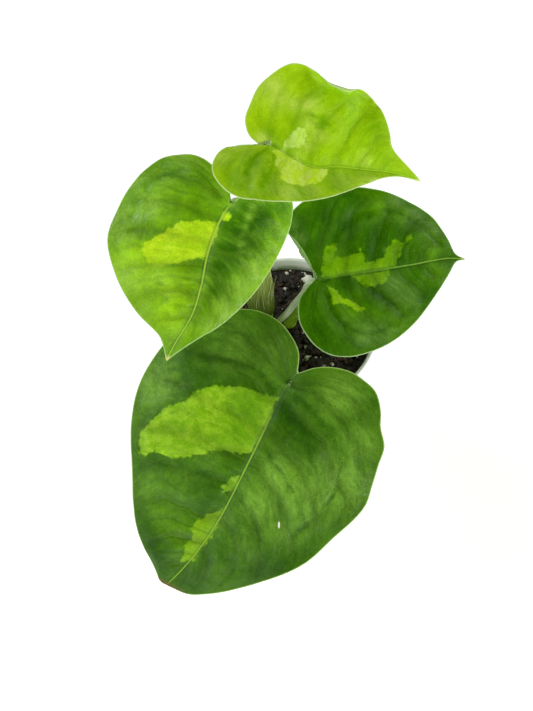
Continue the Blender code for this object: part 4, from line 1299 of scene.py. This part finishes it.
# Peat and fine bark: nearly black brown, dull, a little damp in the hollows
peat, put, spot = newSoilMaterial("dampPeatMix")
clods = put("TexNoise", spot, 260, 5, 0.65)
setSurface(peat, {
    "Base Color": setRamp(put("ValToRGB", clods), (0.30, "#120D09"), (0.72, "#4A3526"),
                          (0.52, "#241A12")),
    "Roughness": put("MapRange", clods, 0.3, 0.7, 0.55, 0.95),
    "Normal": put("Bump", Strength=0.9, Distance=0.25 * mm,
                  Height=put("TexNoise", spot, 1500, 4, 0.7))})

# Bark chips: red brown, with grain across
bark, put, spot = newSoilMaterial("compostedPineBark")
barkGrain = put("TexNoise", spot, 900, 3)
setSurface(bark, {
    "Base Color": setRamp(put("ValToRGB", barkGrain), (0.35, "#2A170D"), (0.7, "#6B4029")),
    "Roughness": 0.8,
    "Normal": put("Bump", Strength=0.8, Distance=0.12 * mm, Height=barkGrain)})

# Coir: pale brown threads
coir, put, spot = newSoilMaterial("coirFibre")
setSurface(coir, {"Base Color": put("Mix", put("TexNoise", spot, 400), "#3B2817", "#7A5E3E"),
                  "Roughness": 0.75})

# Perlite: puffed volcanic glass, chalk white, pitted, with soil in the pits
perliteLook, put, spot = newSoilMaterial("expandedPerlite")
pits = put("TexVoronoi", spot, 1900)
stain = put("MapRange", put("TexNoise", spot, 500, 4, 0.65), 0.48, 0.72, 0, 0.75)
setSurface(perliteLook, {
    "Base Color": put("Mix", stain, "#EDEAE2", "#8E8272"), "Roughness": 0.85,
    "Normal": put("Bump", Strength=0.7, Distance=0.12 * mm, Height=pits)})

finishPiece(makeBed(), "soilBed", peat, "soil")

rng = random.Random(11)           # the same draw as in the solids, so the big lumps agree
bigSpots = {"clump": [], "perlite": [(x, y, r) for x, y, r in soil["perliteSeen"]]}
for kind in bigSpots:
    for _ in range(soil[kind]):
        x, y = discPlace(rng, soil["bigInset"])
        bigSpots[kind].append((x, y, rng.uniform(*soil[kind + "Sizes"])))
        rng.random()              # their squash, which only the solids use

rng = random.Random(5)
deselectAll()
crumbMasters = [makeLump(rng, 2, 0.75, rng.uniform(0.6, 0.9)) for _ in range(8)]
spots = [(x, y, soilHeight(x, y) - 0.1, size * 1.02, rng.uniform(0, 6))
         for x, y, size in bigSpots["clump"] if clearOfStems(x, y, size)]
while len(spots) < soil["crumbs"]:
    size = rng.uniform(*soil["crumbSizes"]) * rng.uniform(0.7, 1.2)
    x, y = discPlace(rng, size + 0.4)
    if clearOfStems(x, y, size * 0.4):
        spots.append((x, y, soilHeight(x, y) + rng.uniform(-0.3, 0.45), size,
                      rng.uniform(0, 6)))
finishPiece(scatter(crumbMasters, spots, "peatCrumbs", 0), "peatCrumbs", peat, "soil")

chipMasters = [makeLump(rng, 2, 0.6, 0.3) for _ in range(4)]
spots = []
while len(spots) < soil["chips"]:
    size = rng.uniform(*soil["chipSizes"])
    x, y = discPlace(rng, size + 0.8)
    if clearOfStems(x, y, size):
        spots.append((x, y, soilHeight(x, y) + 0.35, (size, size * 0.55, size * 0.8),
                      rng.uniform(0, 6)))
finishPiece(scatter(chipMasters, spots, "barkChips", 35), "barkChips", bark, "soil")

perliteMasters = [makeLump(rng, 3, 0.3, 0.88) for _ in range(4)]
spots = [(x, y, soilHeight(x, y) - 0.1, size, rng.uniform(0, 6))
         for x, y, size in bigSpots["perlite"] if clearOfStems(x, y, size)]
grains = scatter(perliteMasters, spots, "perliteGrains", 40)
dustMasters = [makeLump(rng, 1, 0.4, 0.8) for _ in range(3)]
spots = []
while len(spots) < soil["dust"]:
    x, y = discPlace(rng, 1.0)
    size = rng.uniform(*soil["dustSizes"])
    spots.append((x, y, soilHeight(x, y) + rng.uniform(0.35, 0.7), size, rng.uniform(0, 6)))
specks = scatter(dustMasters, spots, "perliteDust", 0)
finishPiece(joinAll([grains, specks]), "perliteGrains", perliteLook, "soil")
for master in crumbMasters + chipMasters + perliteMasters + dustMasters:
    bpy.data.objects.remove(master)

threads = bpy.data.curves.new("coirThreads", "CURVE")
threads.dimensions = "3D"
threads.bevel_depth = soil["threadRadius"] * mm
threads.bevel_resolution = 1
threads.use_fill_caps = True
steps = soil["threadSteps"]
for _ in range(soil["threads"]):
    x, y = discPlace(rng, soil["threadInset"])
    turn = rng.uniform(0, 2 * math.pi)
    bow = rng.uniform(-soil["threadBow"], soil["threadBow"])
    length = rng.uniform(*soil["threadLong"])
    spline = threads.splines.new("POLY")
    spline.points.add(steps)
    lift = rng.uniform(*soil["threadLift"])
    for k, point in enumerate(spline.points):
        share = k / steps
        point.co = (x * mm, y * mm, (soilHeight(x, y) + 0.35
                                     + lift * math.sin(math.pi * share)) * mm, 1)
        point.radius = 1.0 - 0.6 * share
        x += length / steps * math.cos(turn)
        y += length / steps * math.sin(turn)
        turn += bow
pick(addObject("coirThreads", threads))
bpy.ops.object.convert(target="MESH")
finishPiece(bpy.context.object, "coirThreads", coir, "soil")
print("soil is made")
